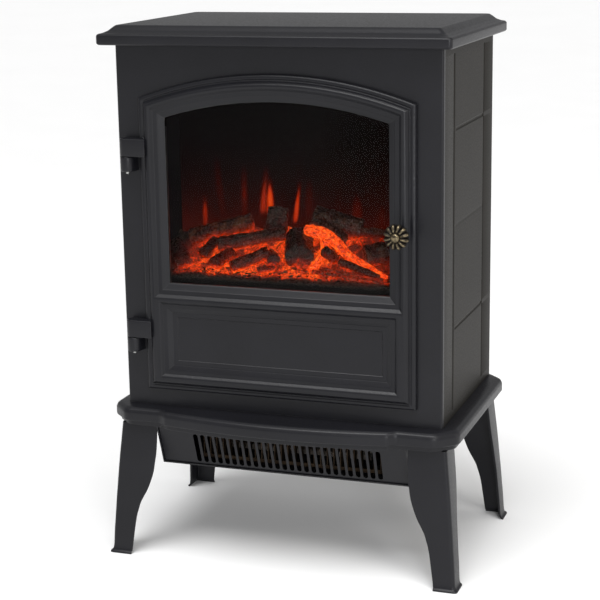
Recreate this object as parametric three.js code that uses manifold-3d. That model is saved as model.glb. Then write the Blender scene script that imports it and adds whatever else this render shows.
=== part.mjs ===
// Electric stove heater: a black steel stove body on four splayed legs, with a side-hinged cast door, a
// glowing ember bed with a flame effect behind the glass, and a fan heater under the base plate.
// Millimetres, +Z up, the front faces -Y. The origin is on the floor under the middle of the object's box.
import * as THREE from 'three';
import { mergeVertices } from 'three/addons/utils/BufferGeometryUtils.js';
import Module from 'manifold-3d';

const wasm = await Module();
wasm.setup();

// ---- driving dimensions -----------------------------------------------------------------------------
const GAP = 0.3;                    // between pieces that touch
const CLEAR = 5;                    // how far a cutting tool runs past what it cuts
const SHEET = 1.5;                  // steel sheet of the body

const BODY = { halfW: 186.3, halfD: 114.2, bottom: 179.5, top: 589.7 };
const CAP = { halfW: 200, halfD: 131.5, midY: -3.5, bottom: 590, height: 21, wall: 16, skin: 3.5 };
const BASE = {
  halfW: 205, front: -134, rear: 128, chamfer: 22, bow: 13, step: 7, stepFrom: 142, stepTo: 128,
};
const BASE_Z = { bottom: 157, band: 163, top: 179.2, skin: 3, recess: 5, wall: 8 };
const TRAY_T = 1.5;

const DOOR = { halfW: 158.4, bottom: 199.9, archR: 457, archMidZ: 103.3, frame: 30, back: 0.5, crest: 12.4 };
const WINDOW = { halfW: DOOR.halfW - DOOR.frame, bottom: 324.3, archR: DOOR.archR - DOOR.frame };
const GLASS = { lip: 6, back: -1.5, front: 2.5 };
const PANEL = { halfW: 120, bottom: 235.3, top: 285.1, face: 3.6 };
const ARCH_STEPS = 14;
const OPENING = { halfW: 140, bottom: 212, archR: 440 };
const KNOB = { x: 143.3, z: 395.5, r: 14, reach: 25.5, petals: 12 };
const KNOB_SCREW = { r: 1.9, hole: 2.3, head: 4.2, seat: 4.8 };
const HINGE = { x: -172.5, y: -122.4, r: 8, pinR: 2, bore: 2.15, armH: 20, knuckleH: 16.7, strapEnd: -148 };
const HINGE_Z = { upper: 467.5, lower: 261.2 };

const LINER = { halfW: 172, front: -112.2, back: 24, bottom: 303.5, top: 560, wall: 1.2 };
const CONTROLS = { halfW: 142, bottom: 208, top: 303.2, front: -112.4, back: -96, midZ: 255 };
const SWITCH_X = { flame_switch: -75, heat_low_switch: -42, heat_high_switch: -9 };
const DIAL = {
  x: 62, r: 15, shaft: 3, bore: 3.4, flange: 5, reach: 10.5, ridge: 11.6, ridgeHalf: 1.2, tail: 14,
};
const THERMOSTAT = { r: 12, can: 12, half: 9, depth: 16 };

const HEATER = {
  halfW: 148.6, bottom: 107.5, top: 156.4, frontLow: -107.5, frontHigh: -124.5, rear: 30, slant: 18,
};
const INTAKES = { pitch: 18, eachSide: 5, length: 12, height: 5, rows: [132.5, 142.5] };
const SLOTS = { count: 26, first: -103, pitch: 8.7, width: 5.5, low: 112, high: 149 };
const FAN = {
  y: -48, z: 131, r: 19, from: -108, to: 92, blades: 20, disc: 2, shaft: 2,
  blade: { thick: 1, width: 5, pitch: 0.5, inward: 4 },
};
const SPINDLE = {
  y: 62, z: 345, r: 13, from: -125, to: 118, vanes: 11, shaft: 2.5, bore: 2.8,
  vane: { width: 16, thick: 1, skew: 0.35, turn: 0.9 },
};

// ---- finishes ---------------------------------------------------------------------------------------
const FINISHES = {
  bodyPaint: { color: 0x2b2b2e, roughness: 0.55, metalness: 0.3 },
  castPaint: { color: 0x2a2a2d, roughness: 0.5, metalness: 0.3 },
  innerBlack: { color: 0x101010, roughness: 0.8, metalness: 0.1 },
  plainSteel: { color: 0x9a9a98, roughness: 0.4, metalness: 0.9 },
  aluminium: { color: 0xb8b8b6, roughness: 0.45, metalness: 0.8 },
  brass: { color: 0x8a6a2c, roughness: 0.35, metalness: 0.9 },
  glass: { color: 0x1a1512, roughness: 0.05, metalness: 0 },
  screen: { color: 0x3a1a10, roughness: 0.6, metalness: 0 },
  ember: { color: 0xd8501a, roughness: 0.6, metalness: 0 },
  log: { color: 0x2a211b, roughness: 0.7, metalness: 0 },
  plastic: { color: 0x1b1b1d, roughness: 0.5, metalness: 0 },
  board: { color: 0x1f5a36, roughness: 0.6, metalness: 0 },
};

// ---- solids -----------------------------------------------------------------------------------------
function toSolid(geometry) {
  const bare = geometry.clone();
  bare.deleteAttribute('normal');
  bare.deleteAttribute('uv');
  const merged = mergeVertices(bare, 1e-4);
  return new wasm.Manifold(new wasm.Mesh({
    numProp: 3,
    vertProperties: new Float32Array(merged.attributes.position.array),
    triVerts: new Uint32Array(merged.index.array),
  }));
}

function toGeometry(solid) {
  const { vertProperties, triVerts, numProp } = solid.getMesh();
  const positions = new Float32Array((vertProperties.length / numProp) * 3);
  for (let i = 0; i < positions.length / 3; i += 1) {
    for (let axis = 0; axis < 3; axis += 1) positions[3 * i + axis] = vertProperties[numProp * i + axis];
  }
  const geometry = new THREE.BufferGeometry();
  geometry.setAttribute('position', new THREE.BufferAttribute(positions, 3));
  geometry.setIndex(new THREE.BufferAttribute(new Uint32Array(triVerts), 1));
  geometry.computeVertexNormals();
  return geometry;
}

const cut = (solid, ...tools) => tools.reduce((left, tool) => left.subtract(tool), solid);
const join = (...solids) => solids.reduce((sum, solid) => sum.add(solid));
const largestBody = (solid) => solid.decompose().reduce((a, b) => (a.volume() > b.volume() ? a : b));

function block(x0, x1, y0, y1, z0, z1) {
  const geometry = new THREE.BoxGeometry(x1 - x0, y1 - y0, z1 - z0);
  return toSolid(geometry.translate((x0 + x1) / 2, (y0 + y1) / 2, (z0 + z1) / 2));
}

function extruded(points, depth, holes = []) {
  const shape = new THREE.Shape(points.map(([a, b]) => new THREE.Vector2(a, b)));
  holes.forEach((hole) => shape.holes.push(new THREE.Path(hole.map(([a, b]) => new THREE.Vector2(a, b)))));
  return new THREE.ExtrudeGeometry(shape, { depth, bevelEnabled: false, steps: 1 });
}
// An outline in XY that runs from z0 to z1, one in XZ from y0 to y1, and one in YZ from x0 to x1.
const plateXY = (points, z0, z1, holes) => toSolid(extruded(points, z1 - z0, holes).translate(0, 0, z0));
const plateXZ = (points, y0, y1, holes) => toSolid(
  extruded(points, y1 - y0, holes).rotateX(Math.PI / 2).translate(0, y1, 0),
);
const CYCLE = new THREE.Matrix4().makeBasis(
  new THREE.Vector3(0, 1, 0), new THREE.Vector3(0, 0, 1), new THREE.Vector3(1, 0, 0),
);
const plateYZ = (points, x0, x1) => toSolid(extruded(points, x1 - x0).applyMatrix4(CYCLE).translate(x0, 0, 0));

// Cylinders along Z, Y and X, between two stations.
const rodZ = (r, x, y, z0, z1, sides = 24) => toSolid(
  new THREE.CylinderGeometry(r, r, z1 - z0, sides).rotateX(Math.PI / 2).translate(x, y, (z0 + z1) / 2),
);
const rodY = (r, x, z, y0, y1, sides = 24) => toSolid(
  new THREE.CylinderGeometry(r, r, y1 - y0, sides).translate(x, (y0 + y1) / 2, z),
);
const rodX = (r, y, z, x0, x1, sides = 24) => toSolid(
  new THREE.CylinderGeometry(r, r, x1 - x0, sides).rotateZ(Math.PI / 2).translate((x0 + x1) / 2, y, z),
);

// A skin through rings of equal point count, closed at both ends by flat caps.
function loft(rings, flat) {
  const count = rings[0].length;
  const positions = new Float32Array(rings.flat(2));
  const index = [];
  for (let r = 0; r + 1 < rings.length; r += 1) {
    for (let i = 0; i < count; i += 1) {
      const [a, b] = [r * count + i, r * count + ((i + 1) % count)];
      index.push(a, b, b + count, a, b + count, a + count);
    }
  }
  const outline = rings[0].map((point) => new THREE.Vector2(point[flat[0]], point[flat[1]]));
  const clockwise = THREE.ShapeUtils.isClockWise(outline);
  const last = (rings.length - 1) * count;
  THREE.ShapeUtils.triangulateShape(outline, []).forEach((face) => {
    const [a, b, c] = clockwise ? [face[0], face[2], face[1]] : face;
    index.push(a, c, b, last + a, last + b, last + c);
  });
  const geometry = new THREE.BufferGeometry();
  geometry.setAttribute('position', new THREE.BufferAttribute(positions, 3));
  geometry.setIndex(index);
  const solid = toSolid(geometry);
  if (solid.volume() > 0) return solid;
  for (let i = 0; i < index.length; i += 3) [index[i], index[i + 1]] = [index[i + 1], index[i]];
  geometry.setIndex(index);
  return toSolid(geometry);
}

// ---- the assembly -----------------------------------------------------------------------------------
const stove = new THREE.Group();

function add(name, shape, finish) {
  const mesh = new THREE.Mesh(toGeometry(shape), new THREE.MeshStandardMaterial(FINISHES[finish]));
  mesh.name = name;
  stove.add(mesh);
}

// ---- outlines ---------------------------------------------------------------------------------------
const rectangle = (x0, x1, y0, y1) => [[x0, y0], [x1, y0], [x1, y1], [x0, y1]];

function roundedRectangle(halfW, halfD, midY, radius, steps = 3) {
  const points = [];
  [[1, -1, -90], [1, 1, 0], [-1, 1, 90], [-1, -1, 180]].forEach(([sx, sy, from]) => {
    for (let i = 0; i <= steps; i += 1) {
      const angle = THREE.MathUtils.degToRad(from + (90 * i) / steps);
      points.push([
        sx * (halfW - radius) + radius * Math.cos(angle),
        midY + sy * (halfD - radius) + radius * Math.sin(angle),
      ]);
    }
  });
  return points;
}

// A rectangle whose top is an arc about (0, DOOR.archMidZ), as [x, z] points.
function archOutline(halfW, bottom, radius) {
  const shoulder = Math.asin(halfW / radius);
  const points = [[-halfW, bottom], [halfW, bottom]];
  for (let i = 0; i <= ARCH_STEPS; i += 1) {
    const angle = shoulder - (2 * shoulder * i) / ARCH_STEPS;
    points.push([radius * Math.sin(angle), DOOR.archMidZ + radius * Math.cos(angle)]);
  }
  return points;
}

// A piece of the door: [x, z] points at a depth counted forward from the body's front face.
const onFront = (points, depth) => points.map(([x, z]) => [x, -BODY.halfD - depth, z]);

// The base plate's outline: chamfered corners, and a front edge that steps out and bows forward.
function baseOutline() {
  const { halfW, front, rear, chamfer, bow, step, stepFrom, stepTo } = BASE;
  const half = [];
  for (let i = 0; i <= 6; i += 1) {
    const x = (stepTo * i) / 6;
    half.push([x, front - step - bow * (1 - (x / stepTo) ** 2)]);
  }
  half.push([(stepFrom + stepTo) / 2 + 2, front - step * 0.45], [stepFrom, front]);
  half.push([halfW - chamfer, front], [halfW, front + chamfer]);
  half.push([halfW, rear - chamfer], [halfW - chamfer, rear]);
  const mirrored = half.slice(1).reverse().map(([x, y]) => [-x, y]);
  return [...half, ...mirrored];
}

// Every edge of an outline that runs counter-clockwise moved inward by the same distance.
function inset(points, distance) {
  return points.map((point, i) => {
    const before = points[(i + points.length - 1) % points.length];
    const after = points[(i + 1) % points.length];
    const [n1, n2] = [normal(before, point), normal(point, after)];
    const scale = distance / (1 + n1[0] * n2[0] + n1[1] * n2[1]);
    return [point[0] + (n1[0] + n2[0]) * scale, point[1] + (n1[1] + n2[1]) * scale];
  });
}
function normal(a, b) {
  const length = Math.hypot(b[0] - a[0], b[1] - a[1]);
  return [-(b[1] - a[1]) / length, (b[0] - a[0]) / length];
}

// ---- cap, body and base -----------------------------------------------------------------------------
function topCap() {
  // [inset, height above the underside]: a vertical lip, then a cove up to the flat top
  const edge = [[1, 0], [0, 1], [0, 10.5], [1, 11.7], [5, 12.6], [10, 15], [14, 19], [17, 21]];
  const rings = edge.map(([t, h]) => roundedRectangle(CAP.halfW - t, CAP.halfD - t, CAP.midY, 5)
    .map(([x, y]) => [x, y, CAP.bottom + h]));
  const pocket = block(
    -CAP.halfW + CAP.wall, CAP.halfW - CAP.wall, -BODY.halfD + 3, BODY.halfD - 3,
    CAP.bottom - 5, CAP.bottom + CAP.height - CAP.skin,
  );
  return cut(loft(rings, [0, 1]), pocket);
}

function frontPanel() {
  const outer = rectangle(-BODY.halfW, BODY.halfW, BODY.bottom, BODY.top);
  const opening = archOutline(OPENING.halfW, OPENING.bottom, OPENING.archR);
  return plateXZ(outer, -BODY.halfD, -BODY.halfD + SHEET, [opening]);
}

// A side panel with pressed grooves: an upright groove near each end and three courses between them.
const SIDE = {
  thick: 2.5, groove: 1.3, upright: 69.5, width: 5, courseH: 3.5, land: 4, low: 190, high: 579.5,
};
const COURSES = { lower: 280, middle: 395, upper: 500, clear: 3.3 };
function sidePanel(side) {
  const [inner, outer] = [BODY.halfW - SIDE.thick, BODY.halfW];
  const halfD = BODY.halfD - SHEET - GAP;
  const span = (a, b) => (side > 0 ? [a, b] : [-b, -a]);
  const floor = outer - SIDE.groove;
  const groove = (y0, y1, z0, z1) => block(...span(floor, outer + 1), y0, y1, z0, z1);
  const half = SIDE.width / 2;
  const uprights = [groove(-SIDE.upright - half, -SIDE.upright + half, SIDE.low, SIDE.high)];
  const { lower, middle, upper, clear } = COURSES;
  const runs = [[SIDE.low, lower - clear], [lower + clear, upper - clear], [upper + clear, SIDE.high]];
  runs.forEach(([from, to]) => {
    uprights.push(groove(SIDE.upright - half, SIDE.upright + half, from, to));
  });
  const courses = [lower, middle, upper].map((z) => groove(
    -SIDE.upright + half + SIDE.land, SIDE.upright - half, z - SIDE.courseH / 2, z + SIDE.courseH / 2,
  ));
  return cut(block(...span(inner, outer), -halfD, halfD, BODY.bottom, BODY.top), ...uprights, ...courses);
}

const VENTS = { rows: [455, 475, 495, 515], columns: [-105, -35, 35, 105], length: 46, height: 5 };
const INLET = { x: 140, z: 205, bore: 4, neck: 7, flange: 10, inside: 10, outside: 3.5 };
function backPanel() {
  const [from, to] = [BODY.halfD - SHEET - CLEAR, BODY.halfD + CLEAR];
  const vents = VENTS.rows.flatMap((z) => VENTS.columns.map((x) => block(
    x - VENTS.length / 2, x + VENTS.length / 2, from, to, z - VENTS.height / 2, z + VENTS.height / 2,
  )));
  const panel = block(-BODY.halfW, BODY.halfW, BODY.halfD - SHEET, BODY.halfD, BODY.bottom, BODY.top);
  return cut(panel, ...vents, rodY(INLET.neck + GAP, INLET.x, INLET.z, from, to, 16));
}

// The cord's inlet: a flanged bush through the back panel.
function cordInlet() {
  const [inside, outside] = [BODY.halfD - INLET.inside, BODY.halfD + INLET.outside];
  const bush = join(
    rodY(INLET.neck, INLET.x, INLET.z, inside, BODY.halfD + 1, 16),
    rodY(INLET.flange, INLET.x, INLET.z, BODY.halfD + GAP, outside, 16),
  );
  return cut(bush, rodY(INLET.bore, INLET.x, INLET.z, inside - CLEAR, outside + CLEAR, 16));
}

function basePlate() {
  const outline = baseOutline();
  const { bottom, band, top, recess } = BASE_Z;
  // [inset, height]: a recessed foot, an upright band, then a rounded top edge
  const levels = [
    [recess, bottom], [recess, band - 0.5], [0.6, band], [0, band + 1], [0, top - 6], [1.2, top - 2.6],
    [3.4, top - 0.8], [7, top],
  ];
  const rings = levels.map(([t, z]) => inset(outline, t).map(([x, y]) => [x, y, z]));
  const pocket = plateXY(inset(outline, BASE_Z.wall), bottom - CLEAR, top - BASE_Z.skin);
  return cut(loft(rings, [0, 1]), pocket);
}

// ---- legs -------------------------------------------------------------------------------------------
// One leg's levels, front right: height, the outer corner's x and y, the front flange's inner edge and the
// side flange's rear edge.
const LEG_LEVELS = [
  [0, 209, -136.5, 181.6, -110.5],
  [1.5, 208.6, -136.2, 181.6, -110.4],
  [5.5, 206, -133.7, 181.2, -110],
  [26, 204.6, -132.5, 178.4, -108],
  [44, 203.2, -131.2, 175.6, -106.5],
  [57, 202.2, -130.3, 172, -105],
  [65, 201.6, -129.8, 169, -104],
  [80, 200.3, -128.6, 161, -101],
  [98, 198.8, -127.2, 154.5, -97],
  [112, 197.5, -126.1, 152, -93.5],
  [127, 196, -124.8, 150, -91],
  [156.7, 193, -122, 149, -88],
];
const LEG_SHEET = 2.5;
const REAR_SHIFT = 11.5;            // the rear legs' corners stand this much nearer to the middle
const LEG_TAB = [162, 191.5, -120.5, -95];
const LEG_SCREW = { x: 176, y: -106, r: 1.9, hole: 2.3, head: 4.2, headH: 2.6, length: 12 };
const legPlace = (x, y, side, end) => [side * x, end > 0 ? -y - REAR_SHIFT : y];

function leg(side, end) {
  const t = LEG_SHEET;
  const rings = LEG_LEVELS.map(([z, cx, cy, fx, sy]) => (
    [[cx, cy], [cx, sy], [cx - t, sy], [cx - t, cy + t], [fx, cy + t], [fx, cy]]
      .map(([x, y]) => [...legPlace(x, y, side, end), z])
  ));
  const top = BASE_Z.bottom - GAP;
  const tab = plateXY(rectangle(...LEG_TAB).map(([x, y]) => legPlace(x, y, side, end)), top - t, top);
  const [x, y] = legPlace(LEG_SCREW.x, LEG_SCREW.y, side, end);
  return cut(join(loft(rings, [0, 1]), tab), rodZ(LEG_SCREW.hole, x, y, top - t - CLEAR, top + CLEAR, 12));
}

function legScrew(side, end) {
  const [x, y] = legPlace(LEG_SCREW.x, LEG_SCREW.y, side, end);
  const seat = BASE_Z.bottom - GAP - LEG_SHEET - GAP;
  return join(
    rodZ(LEG_SCREW.head, x, y, seat - LEG_SCREW.headH, seat, 12),
    rodZ(LEG_SCREW.r, x, y, seat - 1, seat + LEG_SCREW.length, 12),
  );
}

const CORNERS = [
  ['front_left', -1, -1], ['front_right', 1, -1], ['rear_left', -1, 1], ['rear_right', 1, 1],
];

function baseTray() {
  const tray = plateXY(inset(baseOutline(), BASE_Z.wall + GAP), BASE_Z.bottom, BASE_Z.bottom + TRAY_T);
  const holes = CORNERS.map(([, side, end]) => {
    const [x, y] = legPlace(LEG_SCREW.x, LEG_SCREW.y, side, end);
    return rodZ(LEG_SCREW.hole, x, y, BASE_Z.bottom - CLEAR, BASE_Z.bottom + TRAY_T + CLEAR, 12);
  });
  return cut(tray, ...holes);
}

// ---- fan heater under the base ----------------------------------------------------------------------
function heaterProfile(t) {
  const { bottom, top, frontLow, frontHigh, rear } = HEATER;
  return [
    [frontLow + t, bottom + t], [rear - HEATER.slant, bottom + t], [rear - t, bottom + HEATER.slant],
    [rear - t, top - t], [frontHigh + t, top - t],
  ];
}
function heaterHousing() {
  const shell = plateYZ(heaterProfile(0), -HEATER.halfW, HEATER.halfW);
  const hollow = plateYZ(heaterProfile(SHEET), -HEATER.halfW + SHEET, HEATER.halfW - SHEET);
  // the front is open: the grille closes it
  const [low, high] = [HEATER.bottom + SHEET, HEATER.top - SHEET];
  const mouth = plateYZ([
    [HEATER.frontLow - CLEAR, low], [HEATER.frontLow + CLEAR, low],
    [HEATER.frontHigh + CLEAR, high], [HEATER.frontHigh - CLEAR, high],
  ], -HEATER.halfW + SHEET, HEATER.halfW - SHEET);
  const intakes = [];
  for (let i = -INTAKES.eachSide; i <= INTAKES.eachSide; i += 1) {
    const [x, halfL, halfH] = [i * INTAKES.pitch, INTAKES.length / 2, INTAKES.height / 2];
    INTAKES.rows.forEach((z) => intakes.push(block(
      x - halfL, x + halfL, HEATER.rear - CLEAR, HEATER.rear + CLEAR, z - halfH, z + halfH,
    )));
  }
  return cut(shell, hollow, mouth, ...intakes);
}

const GRILLE = { sheet: 1.2, setBack: 2.6 };
const LEAN = Math.atan2(HEATER.frontLow - HEATER.frontHigh, HEATER.top - HEATER.bottom);
function heaterGrille() {
  // Made flat in XZ with its lower edge at z = 0, then leaned back about that edge.
  const height = (HEATER.top - HEATER.bottom - 2 * (SHEET + 2 * GAP)) / Math.cos(LEAN);
  const halfW = HEATER.halfW - SHEET - GAP;
  const [low, high] = [SLOTS.low, SLOTS.high].map((z) => (z - HEATER.bottom - SHEET - GAP) / Math.cos(LEAN));
  const r = SLOTS.width / 2;
  const slots = Array.from({ length: SLOTS.count }, (_, i) => {
    const x = SLOTS.first + SLOTS.pitch * i;
    const [near, far] = [r * 0.3, r * 0.7];
    return [
      [x - r, low + r], [x - far, low + near], [x, low], [x + far, low + near], [x + r, low + r],
      [x + r, high - r], [x + far, high - near], [x, high], [x - far, high - near], [x - r, high - r],
    ];
  });
  const { sheet, setBack } = GRILLE;
  const flat = extruded(rectangle(-halfW, halfW, 0, height), sheet, slots).rotateX(Math.PI / 2);
  flat.rotateX(LEAN);
  return toSolid(flat.translate(0, HEATER.frontLow + setBack, HEATER.bottom + SHEET + 3 * GAP));
}

// A finned heating block: two header tubes and the fins between them.
const ELEMENT = {
  from: -104, to: 114, y: -92, z: 132, depth: 9, height: 30, fins: 28, fin: 1, edge: 2, header: 4,
};
function heatingElement() {
  const { from, to, y, z, depth, height, fins, fin, edge, header } = ELEMENT;
  const headerAt = (mid) => block(from, to, y - header, y + header, mid - header / 2, mid + header / 2);
  const parts = [headerAt(z - height / 2), headerAt(z + height / 2)];
  const run = to - from - 2 * edge - fin;
  for (let i = 0; i < fins; i += 1) {
    const x = from + edge + (run * i) / (fins - 1);
    parts.push(block(x, x + fin, y - depth / 2, y + depth / 2, z - height / 2, z + height / 2));
  }
  return join(...parts);
}

// A cross-flow drum: three discs on a shaft, joined by a ring of curved-back blades.
function fanImpeller() {
  const { y, z, r, from, to, blades, disc, shaft, blade } = FAN;
  const middle = (from + to) / 2;
  const discs = [from, middle - disc / 2, to - disc].map((x) => rodX(r, y, z, x, x + disc, 20));
  const parts = [...discs, rodX(shaft, y, z, from - 8, to + 18, 12)];
  for (let i = 0; i < blades; i += 1) {
    const strip = new THREE.BoxGeometry(to - from - 1, blade.thick, blade.width);
    strip.rotateX(blade.pitch).translate(middle, 0, r - blade.inward);
    parts.push(toSolid(strip.rotateX((2 * Math.PI * i) / blades).translate(0, y, z)));
  }
  return join(...parts);
}

// A shaded-pole motor with its coil; the fan's shaft end turns in its bore.
const MOTOR = {
  gap: 12, length: 18, half: 20, overhang: 4, coilFrom: 14, coilTo: 26, coilHalf: 12, bore: 2.2,
};
function fanMotor() {
  const { y, z, to } = FAN;
  const { gap, length, half, overhang, coilFrom, coilTo, coilHalf, bore } = MOTOR;
  const [start, end] = [to + gap, to + gap + length];
  const stack = block(start, end, y - half, y + half, z - half, z + half);
  const coil = block(start - overhang, end + overhang, y + coilFrom, y + coilTo, z - coilHalf, z + coilHalf);
  return cut(join(stack, coil), rodX(bore, y, z, to, end - 4, 12));
}
const CUTOUT = { x: -128, y: -70, r: 7, height: 9 };
function thermalCutout() {
  const ceiling = HEATER.top - SHEET;
  return rodZ(CUTOUT.r, CUTOUT.x, CUTOUT.y, ceiling - CUTOUT.height, ceiling - GAP, 16);
}

// ---- behind the door: controls and firebox ----------------------------------------------------------
const SWITCH = {
  halfW: 6, halfH: 8.2, rimW: 9, rimH: 12, rim: 1.5, bodyW: 7.3, bodyH: 10.9, bodyD: 18, wellH: 10, wellD: 13,
  pivotY: -91, tilt: 10,
};
const PLATE_Y = CONTROLS.back - SHEET;   // front face of the control box's back wall

function controlBox() {
  const { halfW, bottom, top, front, back, midZ } = CONTROLS;
  const box = block(-halfW, halfW, front, back, bottom, top);
  const hollow = block(-halfW + SHEET, halfW - SHEET, front - 5, PLATE_Y, bottom + SHEET, top - SHEET);
  const ports = Object.values(SWITCH_X).map((x) => block(
    x - SWITCH.bodyW - GAP, x + SWITCH.bodyW + GAP, back - CLEAR, back + CLEAR,
    midZ - SWITCH.bodyH - GAP, midZ + SWITCH.bodyH + GAP,
  ));
  return cut(box, hollow, ...ports, rodY(DIAL.bore, DIAL.x, midZ, back - CLEAR, back + CLEAR, 16));
}

function switchHousing(x) {
  const { midZ } = CONTROLS;
  const { halfW, rimW, rimH, bodyW, bodyH, bodyD, wellH, wellD } = SWITCH;
  const face = PLATE_Y - GAP;
  const rim = block(x - rimW, x + rimW, face - SWITCH.rim, face, midZ - rimH, midZ + rimH);
  const can = block(x - bodyW, x + bodyW, face - 1, PLATE_Y + bodyD, midZ - bodyH, midZ + bodyH);
  const well = block(
    x - halfW - GAP, x + halfW + GAP, face - SWITCH.rim - CLEAR, PLATE_Y + wellD, midZ - wellH, midZ + wellH,
  );
  return cut(join(rim, can), well);
}

// A V-fronted rocker about an axis along X, at rest with its upper half pressed in, which is on.
function rocker(x) {
  const { halfW, halfH, pivotY, tilt } = SWITCH;
  // [behind the axis, above it]
  const profile = [[-10.5, halfH], [-8.4, 0], [-10.5, -halfH], [-3, -halfH], [3, -3], [3, 3], [-3, halfH]];
  const angle = THREE.MathUtils.degToRad(-tilt);
  const turned = profile.map(([y, z]) => [
    pivotY + y * Math.cos(angle) - z * Math.sin(angle),
    CONTROLS.midZ + y * Math.sin(angle) + z * Math.cos(angle),
  ]);
  return plateYZ(turned, x - halfW, x + halfW);
}

function thermostatDial() {
  const { x, r, shaft, flange, reach, ridge, ridgeHalf, tail } = DIAL;
  const z = CONTROLS.midZ;
  const front = PLATE_Y - GAP;
  return join(
    rodY(r, x, z, front - flange, front, 32),
    rodY(r - 3, x, z, front - reach, front - flange + 1, 32),
    block(x - ridgeHalf, x + ridgeHalf, front - ridge, front - 3, z + 3, z + r - 0.6),
    rodY(shaft, x, z, front - 3, front + tail, 16),
  );
}
function thermostatBody() {
  const [x, z] = [DIAL.x, CONTROLS.midZ];
  const { r, can, half, depth } = THERMOSTAT;
  const from = CONTROLS.back + GAP;
  const body = join(
    rodY(r, x, z, from, from + can, 20),
    block(x - half, x + half, from, from + depth, z - half, z + half),
  );
  return cut(body, rodY(DIAL.bore, x, z, from - 1, from + can + 1, 16));
}

function fireboxLiner() {
  const { halfW, front, back, bottom, top, wall } = LINER;
  return cut(
    block(-halfW, halfW, front, back, bottom, top),
    block(-halfW + wall, halfW - wall, front - CLEAR, back + CLEAR, bottom + wall, top - wall),
  );
}

// ---- ember bed and logs -----------------------------------------------------------------------------
const BED = { halfW: 170, front: -88, back: 12, floor: 305.2, low: 326, rise: 42, columns: 34, rows: 10 };
const BED_HOLLOW = { top: 314, sides: 12, ends: 10 };
// Heap height over the bed, rising from the front edge to the back, with a low ripple.
function heapHeight(x, y) {
  const rise = (y - BED.front) / (BED.back - BED.front);
  const ripple = 2.2 * Math.sin(x * 0.14 + y * 0.09) + 1.6 * Math.sin(x * 0.31 - y * 0.17 + 1);
  const sag = 10 * (Math.abs(x) / BED.halfW) ** 4 * rise;
  return BED.low + BED.rise * rise ** 1.15 + ripple * Math.min(1, 4 * rise) - sag;
}
function emberHeap() {
  const { halfW, front, back, floor, columns, rows } = BED;
  const rings = [];
  for (let i = 0; i <= columns; i += 1) {
    const x = -halfW + (2 * halfW * i) / columns;
    const ring = [[x, front, floor]];
    for (let j = 0; j <= rows; j += 1) {
      const y = front + ((back - front) * j) / rows;
      ring.push([x, y, heapHeight(x, y)]);
    }
    ring.push([x, back, floor]);
    rings.push(ring);
  }
  return loft(rings, [1, 2]);
}

// Each log's front end, back end and radius.
const LOGS = {
  log_left_end: [[-128, -72, 337], [-158, -32, 351], 10],
  log_back_left: [[-142, -24, 357], [-70, -5, 379], 9.5],
  log_long_diagonal: [[-98, -45, 355], [-22, -25, 371], 8],
  log_short_left: [[-92, -74, 338], [-80, -46, 348], 8],
  log_low_diagonal: [[-71, -76, 336], [-34, -50, 352], 7.5],
  log_round: [[12, -74, 352], [-6, -30, 366], 15.5],
  log_back_right: [[10, -16, 392], [64, -8, 372], 12],
  log_right_end: [[80, -54, 352], [124, -24, 358], 13],
  log_stump: [[-41, -12, 366], [-37, -2, 394], 12],
};
function logSolid([from, to, radius], grow = 0) {
  const start = new THREE.Vector3(...from);
  const axis = new THREE.Vector3(...to).sub(start);
  const length = axis.length();
  const sides = 10;
  const stations = [[0, 0.82], [0.06, 0.97], [0.35, 1.02], [0.7, 0.93], [0.94, 0.96], [1, 0.8]];
  const rings = stations.map(([along, share], k) => Array.from({ length: sides }, (_, i) => {
    const angle = (2 * Math.PI * i) / sides + 0.12 * k;
    const r = radius * share * (1 + 0.06 * Math.sin(3 * angle + k)) + grow;
    const reach = along * length + (along === 0 ? -grow : 0) + (along === 1 ? grow : 0);
    return [r * Math.cos(angle), r * Math.sin(angle), reach];
  }));
  const turn = new THREE.Quaternion().setFromUnitVectors(new THREE.Vector3(0, 0, 1), axis.normalize());
  const geometry = toGeometry(loft(rings, [0, 1])).applyQuaternion(turn);
  return toSolid(geometry.translate(start.x, start.y, start.z));
}
function emberPieces() {
  const grown = Object.values(LOGS).map((log) => logSolid(log, GAP));
  const { top, sides, ends } = BED_HOLLOW;
  const hollow = block(
    -BED.halfW + sides, BED.halfW - sides, BED.front + ends, BED.back - ends, BED.floor - CLEAR, top,
  );
  const bed = largestBody(cut(emberHeap(), hollow, ...grown));
  const logs = Object.entries(LOGS).map(([name, log], i) => (
    [name, largestBody(cut(logSolid(log), ...grown.slice(0, i)))]
  ));
  return [['ember_bed', bed], ...logs];
}

// ---- flame effect behind the firebox ----------------------------------------------------------------
const REST = 2;                     // how far the flame effect's pieces stand above the liner's underside
const SCREEN = { halfW: 170, front: 18.5, back: 21, edge: 1.6 };
const TEMPLATE = {
  y: 26.5, thick: 1, flames: [-140, -104, -68, -32, 4, 40, 76, 112, 142], width: 9, low: 372, high: 470,
};
function flameScreen() {
  const { halfW, front, back, edge } = SCREEN;
  return block(-halfW, halfW, front, back, LINER.bottom + edge, LINER.top - edge);
}
function flameTemplate() {
  const flames = TEMPLATE.flames.map((x, i) => {
    const tall = TEMPLATE.high - 28 * (i % 3);
    const lean = 5 * Math.sin(2.1 * i);
    return [
      [x, TEMPLATE.low], [x + TEMPLATE.width / 2, TEMPLATE.low + 24], [x + lean + 2, tall - 24],
      [x + 2 * lean, tall], [x + lean - 3, tall - 30], [x - TEMPLATE.width / 2, TEMPLATE.low + 20],
    ];
  });
  const sheet = rectangle(-SCREEN.halfW, SCREEN.halfW, LINER.bottom + REST, LINER.top - 4);
  return plateXZ(sheet, TEMPLATE.y, TEMPLATE.y + TEMPLATE.thick, flames);
}

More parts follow.
